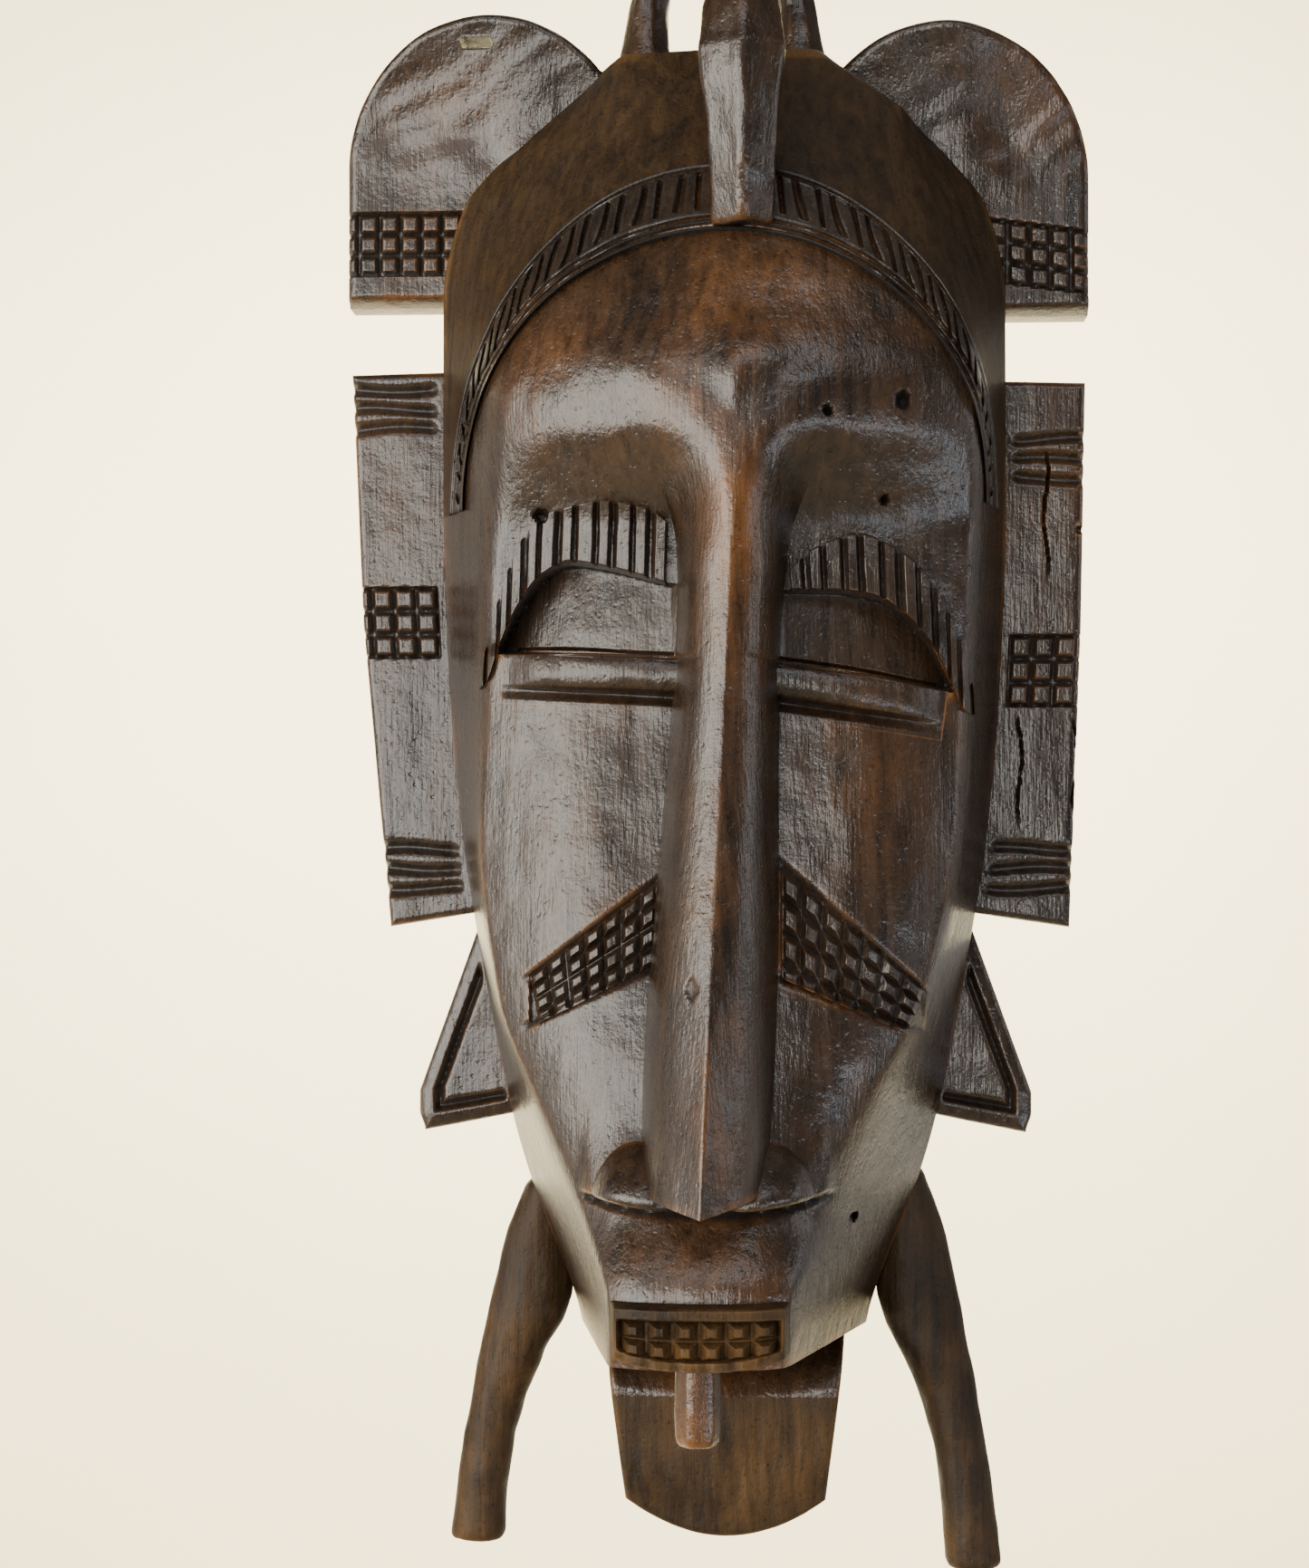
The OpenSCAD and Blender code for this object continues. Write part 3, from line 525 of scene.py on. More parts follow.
def face_piece():
    rows, cols = n_of(460), n_of(240)
    z = JAW + HEIGHT * np.linspace(0, 1, rows)[:, None] * np.ones((1, cols))
    t = spread(cols, 0.35)[None, :] * 2 - 1
    x = half_w(z) * t
    front = skin(x, z)
    rear = hollow_depth(x, z)
    cx, cz = (x[:-1, :-1] + x[1:, 1:]) / 2, (z[:-1, :-1] + z[1:, 1:]) / 2
    keep = np.ones(cx.shape, bool)
    for side in (LEFT, RIGHT):
        a, b = eye_frame(side, cx, cz)
        keep &= ~((np.abs(a) < 17.0) & (np.abs(b) < 1.6))
    obj = slab("face_and_crown", x, z, front, rear, keep)
    finish_piece(obj, DARK, nodes=("face_shell", "crown"), steps=10)
    obj.data.materials.append(MATT)
    centres, normals = np.empty((2, len(obj.data.polygons) * 3))
    obj.data.polygons.foreach_get("center", centres)
    obj.data.polygons.foreach_get("normal", normals)
    c = centres.reshape(-1, 3) * 1000
    outside = ((c[:, 0] / 60) ** 2 + ((c[:, 2] - TEMPLE) / 70) ** 2 > 1) & (c[:, 2] > TEMPLE)
    behind = normals[1::3] > 0.1
    obj.data.polygons.foreach_set("material_index", (outside | behind).astype(np.int32))


def hair_band():
    """The carved strip along the arch over the forehead, wide at the top and narrow at the temples."""
    ang = np.radians(np.linspace(180, 0, n_of(800)))[None, :]
    v = spread(n_of(52), 0.3)[:, None]
    x = (56 + 4 * v) * np.cos(ang)
    z = TEMPLE + (54.1 + 16 * v) * np.sin(ang)
    middle_x, middle_z = x[len(v) // 2], z[len(v) // 2]
    s = np.concatenate([[0], np.cumsum(np.hypot(np.diff(middle_x), np.diff(middle_z)))])[None, :]
    w = np.hypot(x[-1] - x[0], z[-1] - z[0])[None, :]
    h = band_height(s, v * w, w, ang)
    h[0], h[-1], h[:, 0], h[:, -1] = -1, -1, -1, -1
    depth = skin(x, z) + h
    obj = raised_grid("hair_band_carved", x, z, depth, depth - 3)
    obj.data.flip_normals()
    finish_piece(obj, CARVED, nodes=("hair_band",), steps=8)


def band_height(s, d, w, ang):
    """Height of the hair band at s along it and d across it: fine lines and a row of slanted bars."""
    slant = np.clip(np.cos(ang) / np.maximum(np.sin(ang), 0.15), -1.6, 1.6)
    lines = np.exp(-(((d - 1.3) / 0.42) ** 2)) + np.exp(-(((d - 2.9) / 0.45) ** 2))
    lines = np.maximum(lines, np.exp(-(((w - d - 1.3) / 0.5) ** 2)))
    inside = step(0.30, 0.34, d / w) * step(1.6, 2.2, w - d)
    bars = ridge((s + slant * (d - w / 2) * 0.9) / 4.3 + 0.12 * np.sin(s * 0.7), 0.5)
    return 1.9 - 1.3 * np.clip(lines, 0, 1) - 1.7 * inside * (1 - bars)


def eye_patch(name, side, a_range, b_range, counts, height, nodes=()):
    """A lid on the eye's own frame: its near edge follows the slit, and an upper lid's far edge the brow."""
    a = spread(n_of(counts[0]), 0.3)[None, :] * (a_range[1] - a_range[0]) + a_range[0]
    b = spread(n_of(counts[1]), 0.3)[:, None] * (b_range[1] - b_range[0]) + b_range[0]
    a, b = a * np.ones_like(b), b * np.ones_like(a)
    upper = b_range[0] > 0
    near = b_range[0] if upper else b_range[1]
    far = b_range[1] if upper else b_range[0]
    c, s = math.cos(TILT[side]), math.sin(TILT[side])
    if upper:
        u = (EYES[side][0] + a - BROW_X[side][0]) / (BROW_X[side][1] - BROW_X[side][0])
        edge = BROW_LOW[side](np.clip(u, 0, 1)) + 3.5 - a * s
        b = near + (b - near) * np.maximum(edge - near, 0.8) / (far - near)
        far = near + np.maximum(edge - near, 0.8)
    b = slit_edge(a, side, upper) + (b - near) * (far - slit_edge(a, side, upper)) / (far - near)
    x = EYES[side][0] + a * c - b * s
    z = EYES[side][1] + a * s + b * c
    h = height(a, b, side)
    h[-1 if upper else 0], h[:, 0], h[:, -1] = -0.6, -0.6, -0.6
    depth = skin(x, z) + h
    obj = raised_grid(name, x, z, depth, depth - 8)
    finish_piece(obj, CARVED, nodes=nodes, steps=8)


def lower_lid(a, b, side):
    outer = side * a
    share = (slit_edge(a, side, False) - b) / 7.8
    bulge = np.sqrt(np.clip(1 - (2 * np.clip(share, 0, 1) - 0.9) ** 2, 0, 1)) ** 0.8
    lid = (2.0 + 2.8 * bulge) * (1 - 0.3 * step(-4, 12, outer)) * step(1.06, 0.94, share)
    lid *= step(20.5, 9, outer)
    return lid + 0.15 + 0.2 * (noise(a, b, 3, 31) - 0.5) * step(1.1, 0.9, share)


def upper_lid(a, b, side):
    return 0.12 - 1.3 * step(1.1, 0.3, b - slit_edge(a, side, True)) - 0.7 * step(19, 20.5, np.abs(a))


def slit_edge(a, side, upper):
    """The upper or lower edge of the eye's opening, along the slit."""
    middle = -5.0 if side == LEFT else -3.0
    lens = np.clip(1 - ((a - middle) / 13) ** 2, 0, 1)
    return (0.06 + 0.26 * lens) if upper else -(0.02 + 0.1 * lens)


def brow_piece(side, name):
    """A carved strip between the brow's two edges, cut by upright grooves."""
    near, far = BROW_X[side]
    u = spread(n_of(420), 0.05)[None, :]
    v = spread(n_of(60), 0.3)[:, None]
    line = EYE - (0 if side == LEFT else 4)
    low, high = BROW_LOW[side](u), BROW_TOP[side](u)
    b = low + (high - low) * v
    x = near + (far - near) * (u - 0.012 * (v - 0.5)) + 0 * b
    z = line + b
    pitch = 3.9 - 1.4 * step(0.55, 0.95, u)
    count = np.cumsum(np.full(u.shape, abs(far - near) / u.size) / pitch, axis=1)
    bars = ridge(count + 0.08 * np.sin(u * 37) + 0.05 * (noise(x, z, 5, 33) - 0.5), 0.5)
    rim = np.minimum(step(0, 0.7, b - low), step(0, 0.9, high - b))
    h = -0.6 + (2.9 - 0.8 * step(0.6, 1, u)) * rim * step(0, 0.02, u) * step(1, 0.98, u)
    h -= 2.4 * (1 - bars) * step(0.2, 0.8, b - low) * step(0.1, 0.6, high - b)
    h[0], h[-1], h[:, 0], h[:, -1] = -1.5, -1.5, -1.5, -1.5
    depth = skin(x, np.maximum(z, line + low + 0.9)) + h
    obj = raised_grid(name, x, z, depth, depth - 4)
    if side == LEFT:
        obj.data.flip_normals()
    finish_piece(obj, CARVED, nodes=(name.replace("_carved", ""),), steps=8)


def nose_piece():
    width = curve([(0.125, 0.98), (0.16, 1.03), (0.22, 1.06), (0.30, 1.03), (0.38, 0.96), (0.45, 0.90),
        (0.54, 0.86), (0.60, 0.92), (0.65, 1.25), (0.69, 1.75), (0.74, 2.2)])
    tip = curve([(0.125, 1), (0.2, 0.95), (0.28, 0.89), (0.36, 0.84), (0.45, 0.80), (0.55, 0.785),
        (0.66, 0.768), (0.715, 0.742), (0.74, 0.70)])
    rows, cols = n_of(420), n_of(90)
    s = np.linspace(0.125, 0.74, rows)[:, None] * np.ones((1, cols))
    z = at(s)
    t = (spread(cols, 0.5)[None, :] * 2 - 1) * np.ones((rows, 1))
    q = np.abs(t)
    x = lean_x(z) + 0.6 + 13 * width(s) * t
    sharp = 1 - 0.65 * step(at(0.2), at(0.33), z)
    round_top = 0.25 * np.sqrt(np.clip(1 - q**2, 0, 1)) + 0.75 * np.clip(1 - q**3.2, 0, 1) ** 0.8
    two_facets = np.clip(1 - 0.50 * q - 0.50 * q**6, 0, 1)
    shape = round_top * (1 - sharp) + two_facets * sharp
    blend = step(at(0.575), at(0.665), z)
    shape = shape * (1 - blend) + (1 - q**2) ** 2 * blend
    base = skin(x, z) - 3 + 2.93 * blend
    over = 84 * tip(s) - base
    high = (over + np.sqrt(over * over + 0.6)) / 2
    depth = base + high * shape
    depth += 0.5 * (noise(x, z * 0.5, 7, 41) - 0.5) * (1 - q)
    chip = np.abs(x + 5) + 0.5 * np.abs(z + 190)
    depth -= 0.7 * (1 - step(0.9, 1.7, chip))
    z = z - 3.2 * (1 - q) * (1 - step(at(0.125), at(0.16), z))
    obj = raised_grid("nose_bridge", x, z, depth, base - 2)
    finish_piece(obj, DARK, nodes=("nose",), steps=12, warm=1.2)


def nostril(name, side, nodes):
    """A swelling beside the nose: flat underneath, arched on top, standing out most near its lower edge."""
    u = np.linspace(-1, 1, n_of(64))[None, :]
    v = np.linspace(0, 1, n_of(48))[:, None]
    cx = float(lean_x(NOSE_TIP)) + 0.6 + side * 14.2
    x = cx + side * 8.6 * u + 0 * v
    low = NOSE_TIP - 1.0 - 2.8 * (1 - ((x + 2.5) / 25) ** 2)
    tall = 12.5 * np.clip(1 - np.abs(u + 0.25) ** 2.2 / 1.63, 0, 1) ** 0.75
    z = low + 0.2 + tall * v
    h = 6.8 * np.clip(1 - u**4, 0, 1) ** 0.6 * np.sqrt(np.clip(1 - v**1.5, 0, 1)) * step(-0.6, 0.2, v)
    depth = skin(x, z) - 0.8 + h + 0.3 * (noise(x, z, 4, 43) - 0.5)
    obj = raised_grid(name, x, z, depth, depth - 6)
    if side == LEFT:
        obj.data.flip_normals()
    finish_piece(obj, DARK, nodes=nodes, steps=6)


def cheek_marks(side):
    k, m = np.linspace(0, 1, n_of(150)), np.linspace(0, 1, n_of(64))
    p, q = np.meshgrid(k, m)
    ot, it, ob, ib = [np.array(c) for c in CHEEKS[side]]
    top = it[None, None] + (ot - it)[None, None] * p[..., None]
    low = ib[None, None] + (ob - ib)[None, None] * p[..., None]
    xz = top + (low - top) * q[..., None]
    x, z = xz[..., 0], xz[..., 1]
    fp, fq = (p * 7) % 1, (q * 4 if side == LEFT else q * 3.5) % 1
    tooth = np.minimum(1 - np.abs(2 * fp - 1), 1 - np.abs(2 * fq - 1))
    depth = skin(x, z) + 0.1 + 1.8 * np.clip(tooth * 1.8, 0, 1) * (0.7 + 0.5 * noise(x, z, 4, 51))
    for edge in (depth[0], depth[-1], depth[:, 0], depth[:, -1]):
        edge -= 0.6
    obj = raised_grid("cheek_marks_left" if side == LEFT else "cheek_marks_right", x, z, depth, depth - 3)
    if side == RIGHT:
        obj.data.flip_normals()
    finish_piece(obj, CARVED, steps=6)


def mouth_pieces():
    mx = float(lean_x(MOUTH)) + 1
    a = np.linspace(-18, 18, n_of(150))[None, :]
    v = np.linspace(0, 1, n_of(70))[:, None]
    bottom = -11.2 - 2.6 * (1 - (a / 18) ** 2)
    b = 0.6 + (bottom - 0.6) * v
    x, z = mx + a * np.ones_like(b), MOUTH + b
    lip = np.minimum(step(0, 1.2, 0.6 - b), step(0, 1.0, b - bottom)) * step(18.3, 16.6, np.abs(a))
    inner = step(-2.4, -3.2, b) * step(0, 1.0, b - bottom - 2.6) * step(16.4, 15.2, np.abs(a))
    nicks = 0.5 * np.maximum(0, np.sin(a * 1.1)) * step(-9, -10.5, b)
    level = base_depth(x, np.maximum(z, JAW))
    depth = level - 1 + 5.2 * lip - 2.6 * inner - nicks + 0.3 * (noise(x, z, 3, 61) - 0.5)
    obj = raised_grid("mouth_lips", x, z, depth, level - 3)
    obj.data.flip_normals()
    finish_piece(obj, MATT, nodes=("mouth",), steps=8, warm=1.4)
    k, m = np.linspace(0, 1, n_of(150)), np.linspace(0, 1, n_of(60))
    p, q = np.meshgrid(k, m)
    x = mx - 15.6 + 31.2 * p
    z = MOUTH - 2.9 - q * (7.0 + 1.2 * (1 - (2 * p - 1) ** 2))
    fp, fq = (p * 6) % 1, (q * 2) % 1
    tooth = np.minimum((1 - np.abs(2 * fp - 1)) * 1.1, (1 - np.abs(2 * fq - 1)) * 1.3)
    depth = base_depth(x, np.maximum(z, JAW)) + 1.2 + 2.8 * np.clip(tooth * 1.3, 0, 1)
    obj = raised_grid("teeth_rows", x, z, depth, depth - 3)
    obj.data.flip_normals()
    finish_piece(obj, MATT, nodes=("teeth",), steps=4, warm=1.4)


def peg_piece():
    mx = float(lean_x(JAW)) + 1
    rings = []
    for z, r in ((JAW + 2, 4.6), (JAW - 3, 5.0), (JAW - 10, 5.1), (JAW - 15.5, 4.8), (JAW - 16.6, 4.2)):
        rings.append([(mx + r * math.cos(a), -61 + r * math.sin(a), z)
            for a in np.radians(np.arange(10, 370, 60))])
    peg = carved_loft("lip_peg_whittled", rings, 0.6, 2, 0.25)
    finish_piece(peg, DARK, nodes=("lip_peg",), steps=4, warm=1.4)


def neck_piece():
    rows, cols = n_of(150), n_of(130)
    v = spread(rows, 0.25)[:, None] * np.ones((1, cols))
    u = (spread(cols, 0.3)[None, :] * 2 - 1) * np.ones((rows, 1))
    z = JAW - v * (44 - 8 * u * u)
    x = u * (26 - 4.6 * v) + 0.5
    profile = curve([(0, 15), (0.26, 26), (0.33, 27), (0.7, 26), (1, 24)])
    front = profile(v) - edge_fall((1 - np.abs(u)) * 24, (1 - v) * 45, 1.6)
    front += 0.6 * (noise(x, z, 9, 71) - 0.5) + 0.25 * (noise(x * 2, z * 0.4, 4, 72) - 0.5)
    chip = np.hypot((x - 24), (z - JAW + 2) * 0.7)
    crack = 1 - step(0.2, 0.6, np.abs(x - 22 - 0.02 * z))
    front -= 3.0 * (1 - step(1, 4, chip)) + 1.6 * crack * step(-272, -266, z)
    rear = np.maximum(0, 9.5 - 0.04 * x * x) * step(0, 0.05, v)
    obj = slab("neck_panel_carved", x, z, front, rear)
    obj.data.flip_normals()
    finish_piece(obj, MATT, nodes=("neck_panel",), steps=10)
    obj.data.materials.append(DARK)
    for p in obj.data.polygons:
        p.material_index = int(p.center.z > (JAW - 13.5) * 0.001 and p.normal.y < 0.1)


def plate_piece(name, x, z, front, nodes, flip, keep=None):
    """A flat plate whose back, against the wall, is plain dull wood."""
    obj = slab(name, x, z, front, np.full_like(front, 0.2), keep)
    if flip:
        obj.data.flip_normals()
    finish_piece(obj, DARK, nodes=nodes, steps=8)
    obj.data.materials.append(MATT)
    for p in obj.data.polygons:
        p.material_index = int(p.center.y > -0.0005)


def squares(p, q, pitch_p, pitch_q):
    return np.minimum(ridge(p / pitch_p, 0.55), ridge(q / pitch_q, 0.55))


def upper_wing(side):
    cx = side * (51.5 if side == LEFT else 48.5)
    cz = -11.0 if side == LEFT else -14.0
    low = at(0.814) + (0 if side == LEFT else -3)
    reach = 83.5 if side == LEFT else 80.5
    rows, cols = n_of(230), n_of(190)
    top = cz + 32
    s = np.linspace(0, 1, rows)
    z = (low + (top - 0.05 - low) * np.sin(s * math.pi / 2) ** 0.9)[:, None] * np.ones((1, cols))
    rise = np.clip(z - cz, 0, 32)
    half = np.sqrt(np.clip(32**2 - rise**2, 0, None))
    outer = np.where(z > cz, abs(cx) + half, reach)
    beside_face = np.minimum(abs(cx) - half * 0.9, half_w(np.minimum(z, TOP)) - 4)
    inner = np.where(z > TOP - 1, abs(cx) - half, beside_face)
    t = spread(cols, 0.3)[None, :]
    ax = inner + (outer - inner) * t
    x = side * ax
    rim_z = np.minimum(z - low, np.where(z > cz, 32 - np.hypot(ax - abs(cx), z - cz), 99))
    rim_x = np.where(z > cz, 99, reach - ax)
    curl = curve([(0, 0), (8, 0.2), (16, 1.6), (26, 5), (35, 9)])(np.clip(z - (top - 34), 0, 35))
    front = 12 + curl - edge_fall(np.clip(rim_x, 0, None), np.clip(rim_z, 0, None), 2.2)
    skew = 0 if side == LEFT else (ax - 62) * 0.14
    q = z - low + skew - 6.5
    band = step(-0.3, 0.3, q) * step(14.2, 13.6, q) * step(57, 58, ax)
    front -= 1.5 * band * (1 - squares(ax - 58, q, 4.6, 4.6))
    lobe = step(0, 12, z - low - 22)
    scoops = np.abs(np.sin((x * 0.55 - z * 0.84) * 0.42 + 3.2 * noise(x, z, 17, 85))) ** 1.5
    waves = 1.3 * noise(x + z * 0.5, z * 0.6, 9, 83 + side)
    front += 0.5 * (noise(x, z, 8, 81) - 0.5) + lobe * (waves - 0.35 * scoops * noise(x, z, 13, 87))
    front += lobe * 1.2 * step(64, 46, ax)
    front -= 2.4 * step(1.8, 0, z - low)
    keep = None
    if side == LEFT:
        mx, mz = (x[:-1, :-1] + x[1:, 1:]) / 2, (z[:-1, :-1] + z[1:, 1:]) / 2
        keep = np.hypot(np.maximum(np.abs(mx - SLOT_X) - SLOT_HALF, 0), mz - SLOT_Z) > SLOT_R
        gx = np.where(np.abs(x - SLOT_X) > SLOT_HALF, x - SLOT_X - SLOT_HALF * np.sign(x - SLOT_X), 0)
        gz = z - SLOT_Z
        size = np.maximum(np.hypot(gx, gz), 0.01)
        far = np.hypot(gx, gz) - SLOT_R
        close = np.abs(far) < 0.32
        x, z = x - np.where(close, far * gx / size, 0), z - np.where(close, far * gz / size, 0)
    name = "upper_wing_left" if side == LEFT else "upper_wing_right"
    plate_piece(name + "_carved", x, z, front, (name,), side == LEFT, keep)


def slot_wall():
    """The inside of the tie slot."""
    ring = [(SLOT_X + s * SLOT_HALF + SLOT_R * math.cos(a), SLOT_Z + SLOT_R * math.sin(a))
        for s, turn in ((1, -90), (-1, 90)) for a in np.radians(np.linspace(turn, turn + 180, 14))]
    pts = [(x, y, z) for y in (-19.0, -0.2) for x, z in ring]
    n = len(ring)
    faces = [[i, (i + 1) % n, n + (i + 1) % n, n + i] for i in range(n)]
    finish_piece(mesh_object("tie_slot_wall", pts, faces), CARVED, steps=1)


def side_wing(side):
    high = at(0.814) - 15 + (0 if side == LEFT else -3)
    low = at(0.325)
    reach = 82.5 if side == LEFT else 79.5
    taper = 9.0 if side == LEFT else 4.0
    rows, cols = n_of(380), n_of(90)
    v = spread(rows, 0.15)[:, None] * np.ones((1, cols))
    t = spread(cols, 0.3)[None, :] * np.ones((rows, 1))
    outer = np.interp(v, [0, 0.46, 1], [reach, reach - taper * 0.3, reach - taper])
    z = high + (low - high) * v - t * 2.5 * (2 * v - 1) * 0.6 - t * 2
    inner = half_w(z) - 3
    ax = inner + (outer - inner) * t
    x = side * ax
    down = high - z - 1.5
    up = z - low + 2.5
    front = 12 - edge_fall((1 - t) * (outer - inner), np.minimum(v, 1 - v) * (high - low), 1.6)
    face_side = ax - half_w(z)
    inset = step(0.4, 3.0, face_side) * (0.75 + 0.25 * step(5, 0, outer - ax))
    shift = 0 if side == LEFT else 9
    for k in range(3):
        wave = 0.5 * np.sin(ax * 0.21 + k * 1.7 + side)
        front -= 2.0 * inset * np.exp(-(((down - shift - 2.5 - 4.3 * k - wave) / (0.85 + 0.25 * inset)) ** 2))
        front -= 2.0 * inset * np.exp(-(((up - 7.5 - 4.3 * k + wave) / (0.85 + 0.25 * inset)) ** 2))
    q = down - 46.5 - shift * 0.9
    band = step(-0.3, 0.3, q) * step(15.9, 15.3, q) * step(1.4, 2.0, face_side)
    front -= 1.5 * band * (1 - squares(face_side - 1.8, q, 4.9, 5.2))
    front += 0.5 * (noise(x, z * 0.5, 7, 91 + side) - 0.5)
    if side == RIGHT:
        crack = np.abs(x - 70.5 - 0.5 * np.sin(z * 0.3) - 0.4 * noise(x, z, 2, 95))
        front -= 1.4 * (1 - step(0.1, 0.45, crack)) * step(-104, -98, z) * step(-74, -78, z)
        front -= 1.4 * (1 - step(0.1, 0.4, np.abs(crack - 6))) * step(-158, -152, z) * step(-132, -136, z)
        front -= 3 * (1 - step(0.6, 1.2, np.hypot(x - 78, z + 92)))
    name = "side_wing_left" if side == LEFT else "side_wing_right"
    plate_piece(name + "_carved", x, z, front, (name,), side == RIGHT)


def ear_fin(side):
    high, low = at(0.325) - 4.5, at(0.165)
    tip = float(half_w((high + low) / 2)) + 16
    rows, cols = n_of(150), n_of(90)
    v = spread(rows, 0.3)[:, None] * np.ones((1, cols))
    t = spread(cols, 0.3)[None, :] * np.ones((rows, 1))
    w0 = float(half_w(high))
    outer = w0 + 0.5 + (tip + 0.8 - w0 - 0.5) * np.minimum(1, v * 1.25) - 1.2 * step(0.9, 1, v)
    z = high + (low - high) * v - 4.5 * t * v
    ax = (half_w(z) - 3) * (1 - t) + outer * t
    x = side * ax
    d_out = (outer - ax) * 0.9
    d_low = (1 - v) * 40
    front = 10 - edge_fall(d_out, d_low, 1.4)
    rim = np.minimum(d_out, d_low)
    groove = np.exp(-(((rim - 4.2) / 0.8) ** 2)) * step(0.5, 1.5, ax - half_w(z))
    front -= 2.2 * groove + 0.8 * step(4, 0, rim)
    front += 0.4 * (noise(x, z, 6, 97) - 0.5)
    name = "ear_fin_left" if side == LEFT else "ear_fin_right"
    plate_piece(name + "_carved", x, z, front, (name,), side == RIGHT)


def leg_piece(side):
    length = 49 + (5 if side == RIGHT else 0)
    rings = []
    for drop, share, w in ((-0.62, 0.64, 4), (-0.40, 0.66, 7.5), (-0.12, 0.68, 9.8), (0.02, 0.71, 9.2),
            (0.16, 0.755, 7.8), (0.34, 0.80, 6.7), (0.52, 0.835, 6.1), (0.75, 0.86, 6.2), (1, 0.88, 6.7)):
        x, z = side * share * HALF, JAW - drop * length
        rings.append([(x + w * math.cos(a), min(-0.1, -6.5 + 6.2 * math.sin(a)), z)
            for a in np.radians(np.arange(22.5, 382, 45))])
    name = "leg_left" if side == LEFT else "leg_right"
    finish_piece(carved_loft(name + "_whittled", rings, 2.2, 8, 0.5), MATT, nodes=(name,), steps=6)


def oval(x, y, z, rx, ry, n=8, turn=22.5):
    return [(x + rx * math.cos(a), y + ry * math.sin(a), z)
        for a in np.radians(np.arange(n) * 360 / n + turn)]


def crest():
    body_z = TOP + 30
    for side in (LEFT, RIGHT):
        x = side * 17.0
        rings = [oval(x, -12.5, TOP - 2, 7.0, 9.2), oval(x, -12.5, TOP + 4, 5.8, 7.8),
            oval(x * 0.97, -12.5, TOP + 13, 4.6, 6.4), oval(x * 0.8, -12.5, body_z - 2, 4.2, 6)]
        name = "crest_leg_left" if side == LEFT else "crest_leg_right"
        finish_piece(carved_loft(name + "_whittled", rings, 1.0, 2, 0.6), DARK, nodes=(name,), steps=5)
    rings = [oval(0, -26, body_z + dz, 15 * k, 25 * k, 12) for dz, k in
        ((-10.5, 0.45), (-8, 0.74), (-3, 0.97), (3, 1), (8, 0.8), (11.5, 0.4))]
    finish_piece(carved_loft("crest_body_whittled", rings, 1.4, 3, 0.9), DARK, nodes=("crest_body",), steps=8)
    hx = 4.8
    front = float(base_depth(np.array(lean_x(at(0.848))), np.array(at(0.848)))) + 12
    head = at(0.967)

    def head_ring(z, half, near, far):
        return [(hx - half, -far, z), (hx - half, -near + 4.5, z), (hx - 0.6, -near, z), (hx + 0.8, -near, z),
            (hx + half, -near + 4.5, z), (hx + half, -far, z)]

    rings = [head_ring(at(0.848) - 2, 6.2, front - 4, front - 15),
        head_ring(at(0.848) + 8, 6.7, front, front - 12),
        head_ring(head - 9, 7.9, front + 3, front - 10), head_ring(head, 9, front + 4, front - 12),
        head_ring(head + 12, 7.2, front + 1, front - 14), head_ring(head + 20, 4.5, front - 5, front - 13)]
    beak = carved_loft("crest_head_whittled", rings, 0.45, 1, 0.5)
    finish_piece(beak, DARK, nodes=("crest_head",), steps=5, warm=0.7)
    rings = []
    for i in range(9):
        t = i / 8
        y = (1 - t) * (-front + 7) + t * -31
        z = (1 - t) * (head + 10) + t * (body_z + 2) + 6 * math.sin(math.pi * t)
        x = hx * (1 - t)
        rings.append([(x + 7.6 * math.cos(a), y + 5.6 * math.sin(a), z - 5.6 * math.sin(a))
            for a in np.radians(np.arange(22.5, 382, 45))])
    finish_piece(carved_loft("crest_neck_whittled", rings, 1.2, 3, 0.6), DARK, nodes=("crest_neck",), steps=6)
    rings = [oval(0, -10, body_z - 1, 9, 5, 10), oval(0, -8, body_z + 14, 11, 4, 10),
        oval(0, -6, body_z + 26, 13, 3.5, 10), oval(0, -5.5, body_z + 30.5, 10, 3, 10)]
    finish_piece(carved_loft("crest_tail_whittled", rings, 0.8, 2, 0.5), DARK, nodes=("crest_tail",), steps=5)


face_piece()
hair_band()
for side in (LEFT, RIGHT):
    word = "left" if side == LEFT else "right"
    brow_piece(side, "brow_" + word + "_carved")
    ends = (-19.5, 21) if side == LEFT else (-21, 19.5)
    lid = "lower_lid_" + word
    eye_patch(lid + "_carved", side, ends, (-11.5, -1.0), (150, 80), lower_lid, (lid,))
    eye_patch("upper_lid_" + word, side, (-20.5, 20.5), (1.0, 24), (140, 90), upper_lid)
    nostril("nostril_" + word + "_carved", side, ("nostril_" + word,))
    cheek_marks(side)
    upper_wing(side)
    side_wing(side)
    ear_fin(side)
    leg_piece(side)
slot_wall()
nose_piece()
mouth_pieces()
peg_piece()
neck_piece()
crest()

for name in ("hanger_strap", "hanger_ring", "hanger_screw"):
    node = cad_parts[name]
    for one in node.material_slots:
        one.material = BRASS

# Stage, light and camera -------------------------------------------------------
def stage_material(name, colour):
    mat, add = new_material(name)
    place = add("ShaderNodeTexCoord").outputs["Object"]
    cloud = add("ShaderNodeTexNoise", {"Vector": place, "Scale": 3.0, "Detail": 3.0}).outputs["Fac"]
    body = ramp(add, cloud, [(0.3, tuple(c * 0.97 for c in colour)), (0.7, colour)])
    shader = add("ShaderNodeBsdfPrincipled", {"Base Color": body, "Roughness": 0.9})
    add("ShaderNodeOutputMaterial", {"Surface": shader.outputs[0]})
    return mat


def flat_panel(name, corners, material):
    me = bpy.data.meshes.new(name)
    me.from_pydata(corners, [], [list(range(len(corners)))])
    me.materials.append(material)
    obj = bpy.data.objects.new(name, me)
    collection.objects.link(obj)


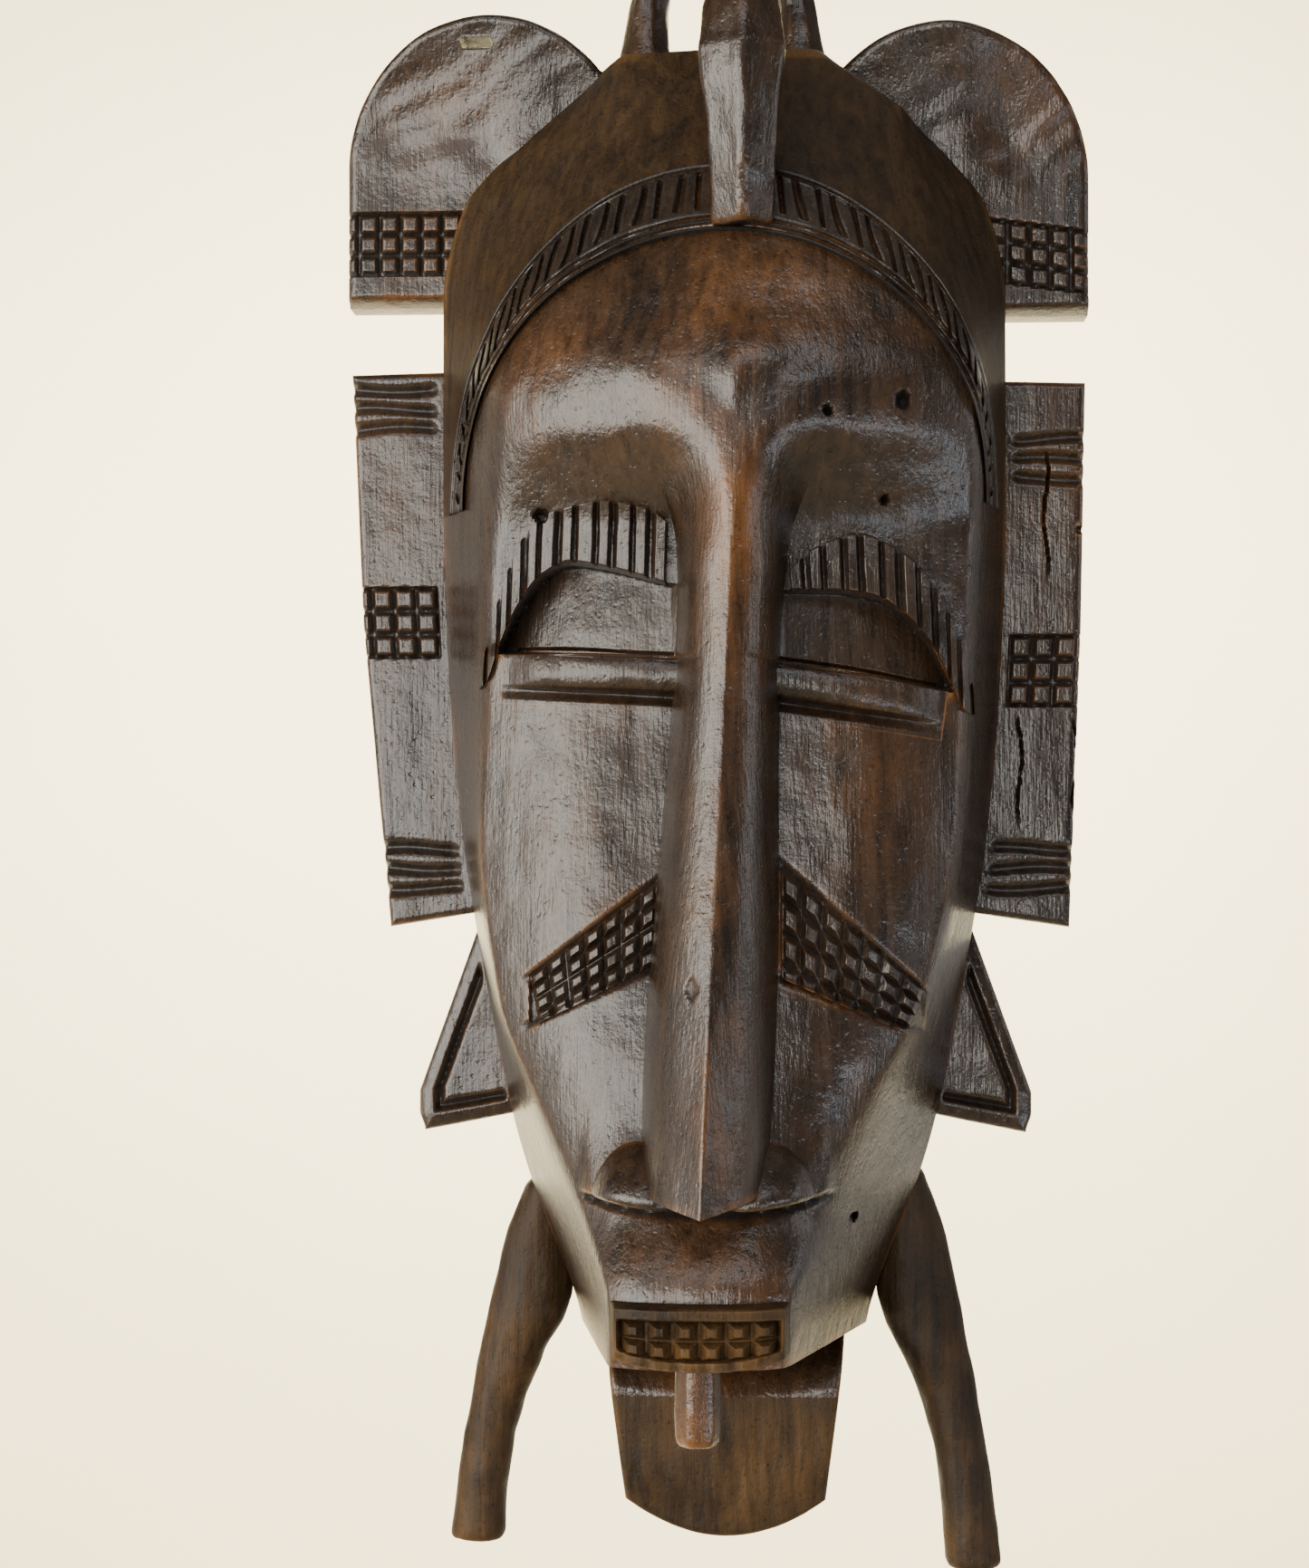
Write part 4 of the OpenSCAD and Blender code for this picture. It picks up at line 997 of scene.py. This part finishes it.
pale = stage_material("pale_stage", (0.80, 0.705, 0.47))
flat_panel("floor", [(-6, -6, -1.3), (6, -6, -1.3), (6, 6, -1.3), (-6, 6, -1.3)],
    stage_material("pale_floor", (0.46, 0.42, 0.33)))
flat_panel("backdrop", [(-6, 3, -1.3), (1.25, 3, -1.3), (1.25, 3, 3.5), (-6, 3, 3.5)], pale)

world = bpy.data.worlds.new("soft")
world.use_nodes = True
world.node_tree.nodes["Background"].inputs[0].default_value = (0.90, 0.87, 0.80, 1)
world.node_tree.nodes["Background"].inputs[1].default_value = 0.13
bpy.context.scene.world = world


def area_light(name, place, aim, size, power, colour):
    data = bpy.data.lights.new(name, "AREA")
    data.shape = "RECTANGLE"
    data.size, data.size_y = size
    data.energy = power
    data.color = colour
    obj = bpy.data.objects.new(name, data)
    obj.location = place
    obj.rotation_euler = (Vector(aim) - Vector(place)).to_track_quat("-Z", "Y").to_euler()
    collection.objects.link(obj)


middle = (0, -0.03, -0.14)
area_light("window_left", (-1.25, -1.1, -0.1), middle, (1.0, 1.3), 42, (1.0, 0.96, 0.86))
area_light("window_right", (0.95, -0.85, -0.6), middle, (0.9, 0.16), 5, (0.78, 0.88, 1.0))
area_light("room_front", (-0.42, -1.75, -0.15), middle, (0.8, 0.7), 18, (1.0, 0.97, 0.91))
area_light("side_right", (1.5, -0.05, 0.1), middle, (0.4, 0.7), 3, (0.97, 0.98, 1.0))
area_light("room_high", (0.15, -0.95, 0.56), middle, (1.1, 0.14), 3.5, (0.9, 0.95, 1.0))
area_light("side_left", (-1.5, -0.1, -0.2), middle, (0.4, 1.4), 4, (1.0, 0.96, 0.9))
area_light("behind_right", (0.8, 0.8, -0.3), middle, (0.9, 1.4), 2, (1.0, 0.97, 0.92))
area_light("behind_left", (-0.8, 0.8, -0.3), middle, (0.9, 1.4), 2.5, (1.0, 0.97, 0.92))
area_light("room_above", (0.3, 0.6, 1.7), middle, (1.4, 1.0), 7, (1.0, 0.96, 0.9))
area_light("wall_wash", (-0.2, 1.2, 0.6), (-0.3, 3, -0.8), (3.0, 1.0), 390, (1.0, 0.955, 0.82))

camera = bpy.data.cameras.new("camera")
camera.lens = 61.5
camera.sensor_width = 36
camera.sensor_fit = "AUTO"
view = bpy.data.objects.new("camera", camera)
view.location = (0.012, -0.600, -0.165)
view.rotation_euler = (Vector((-0.0157, 0, -0.1474)) - view.location).to_track_quat("-Z", "Y").to_euler()
collection.objects.link(view)
bpy.context.scene.camera = view
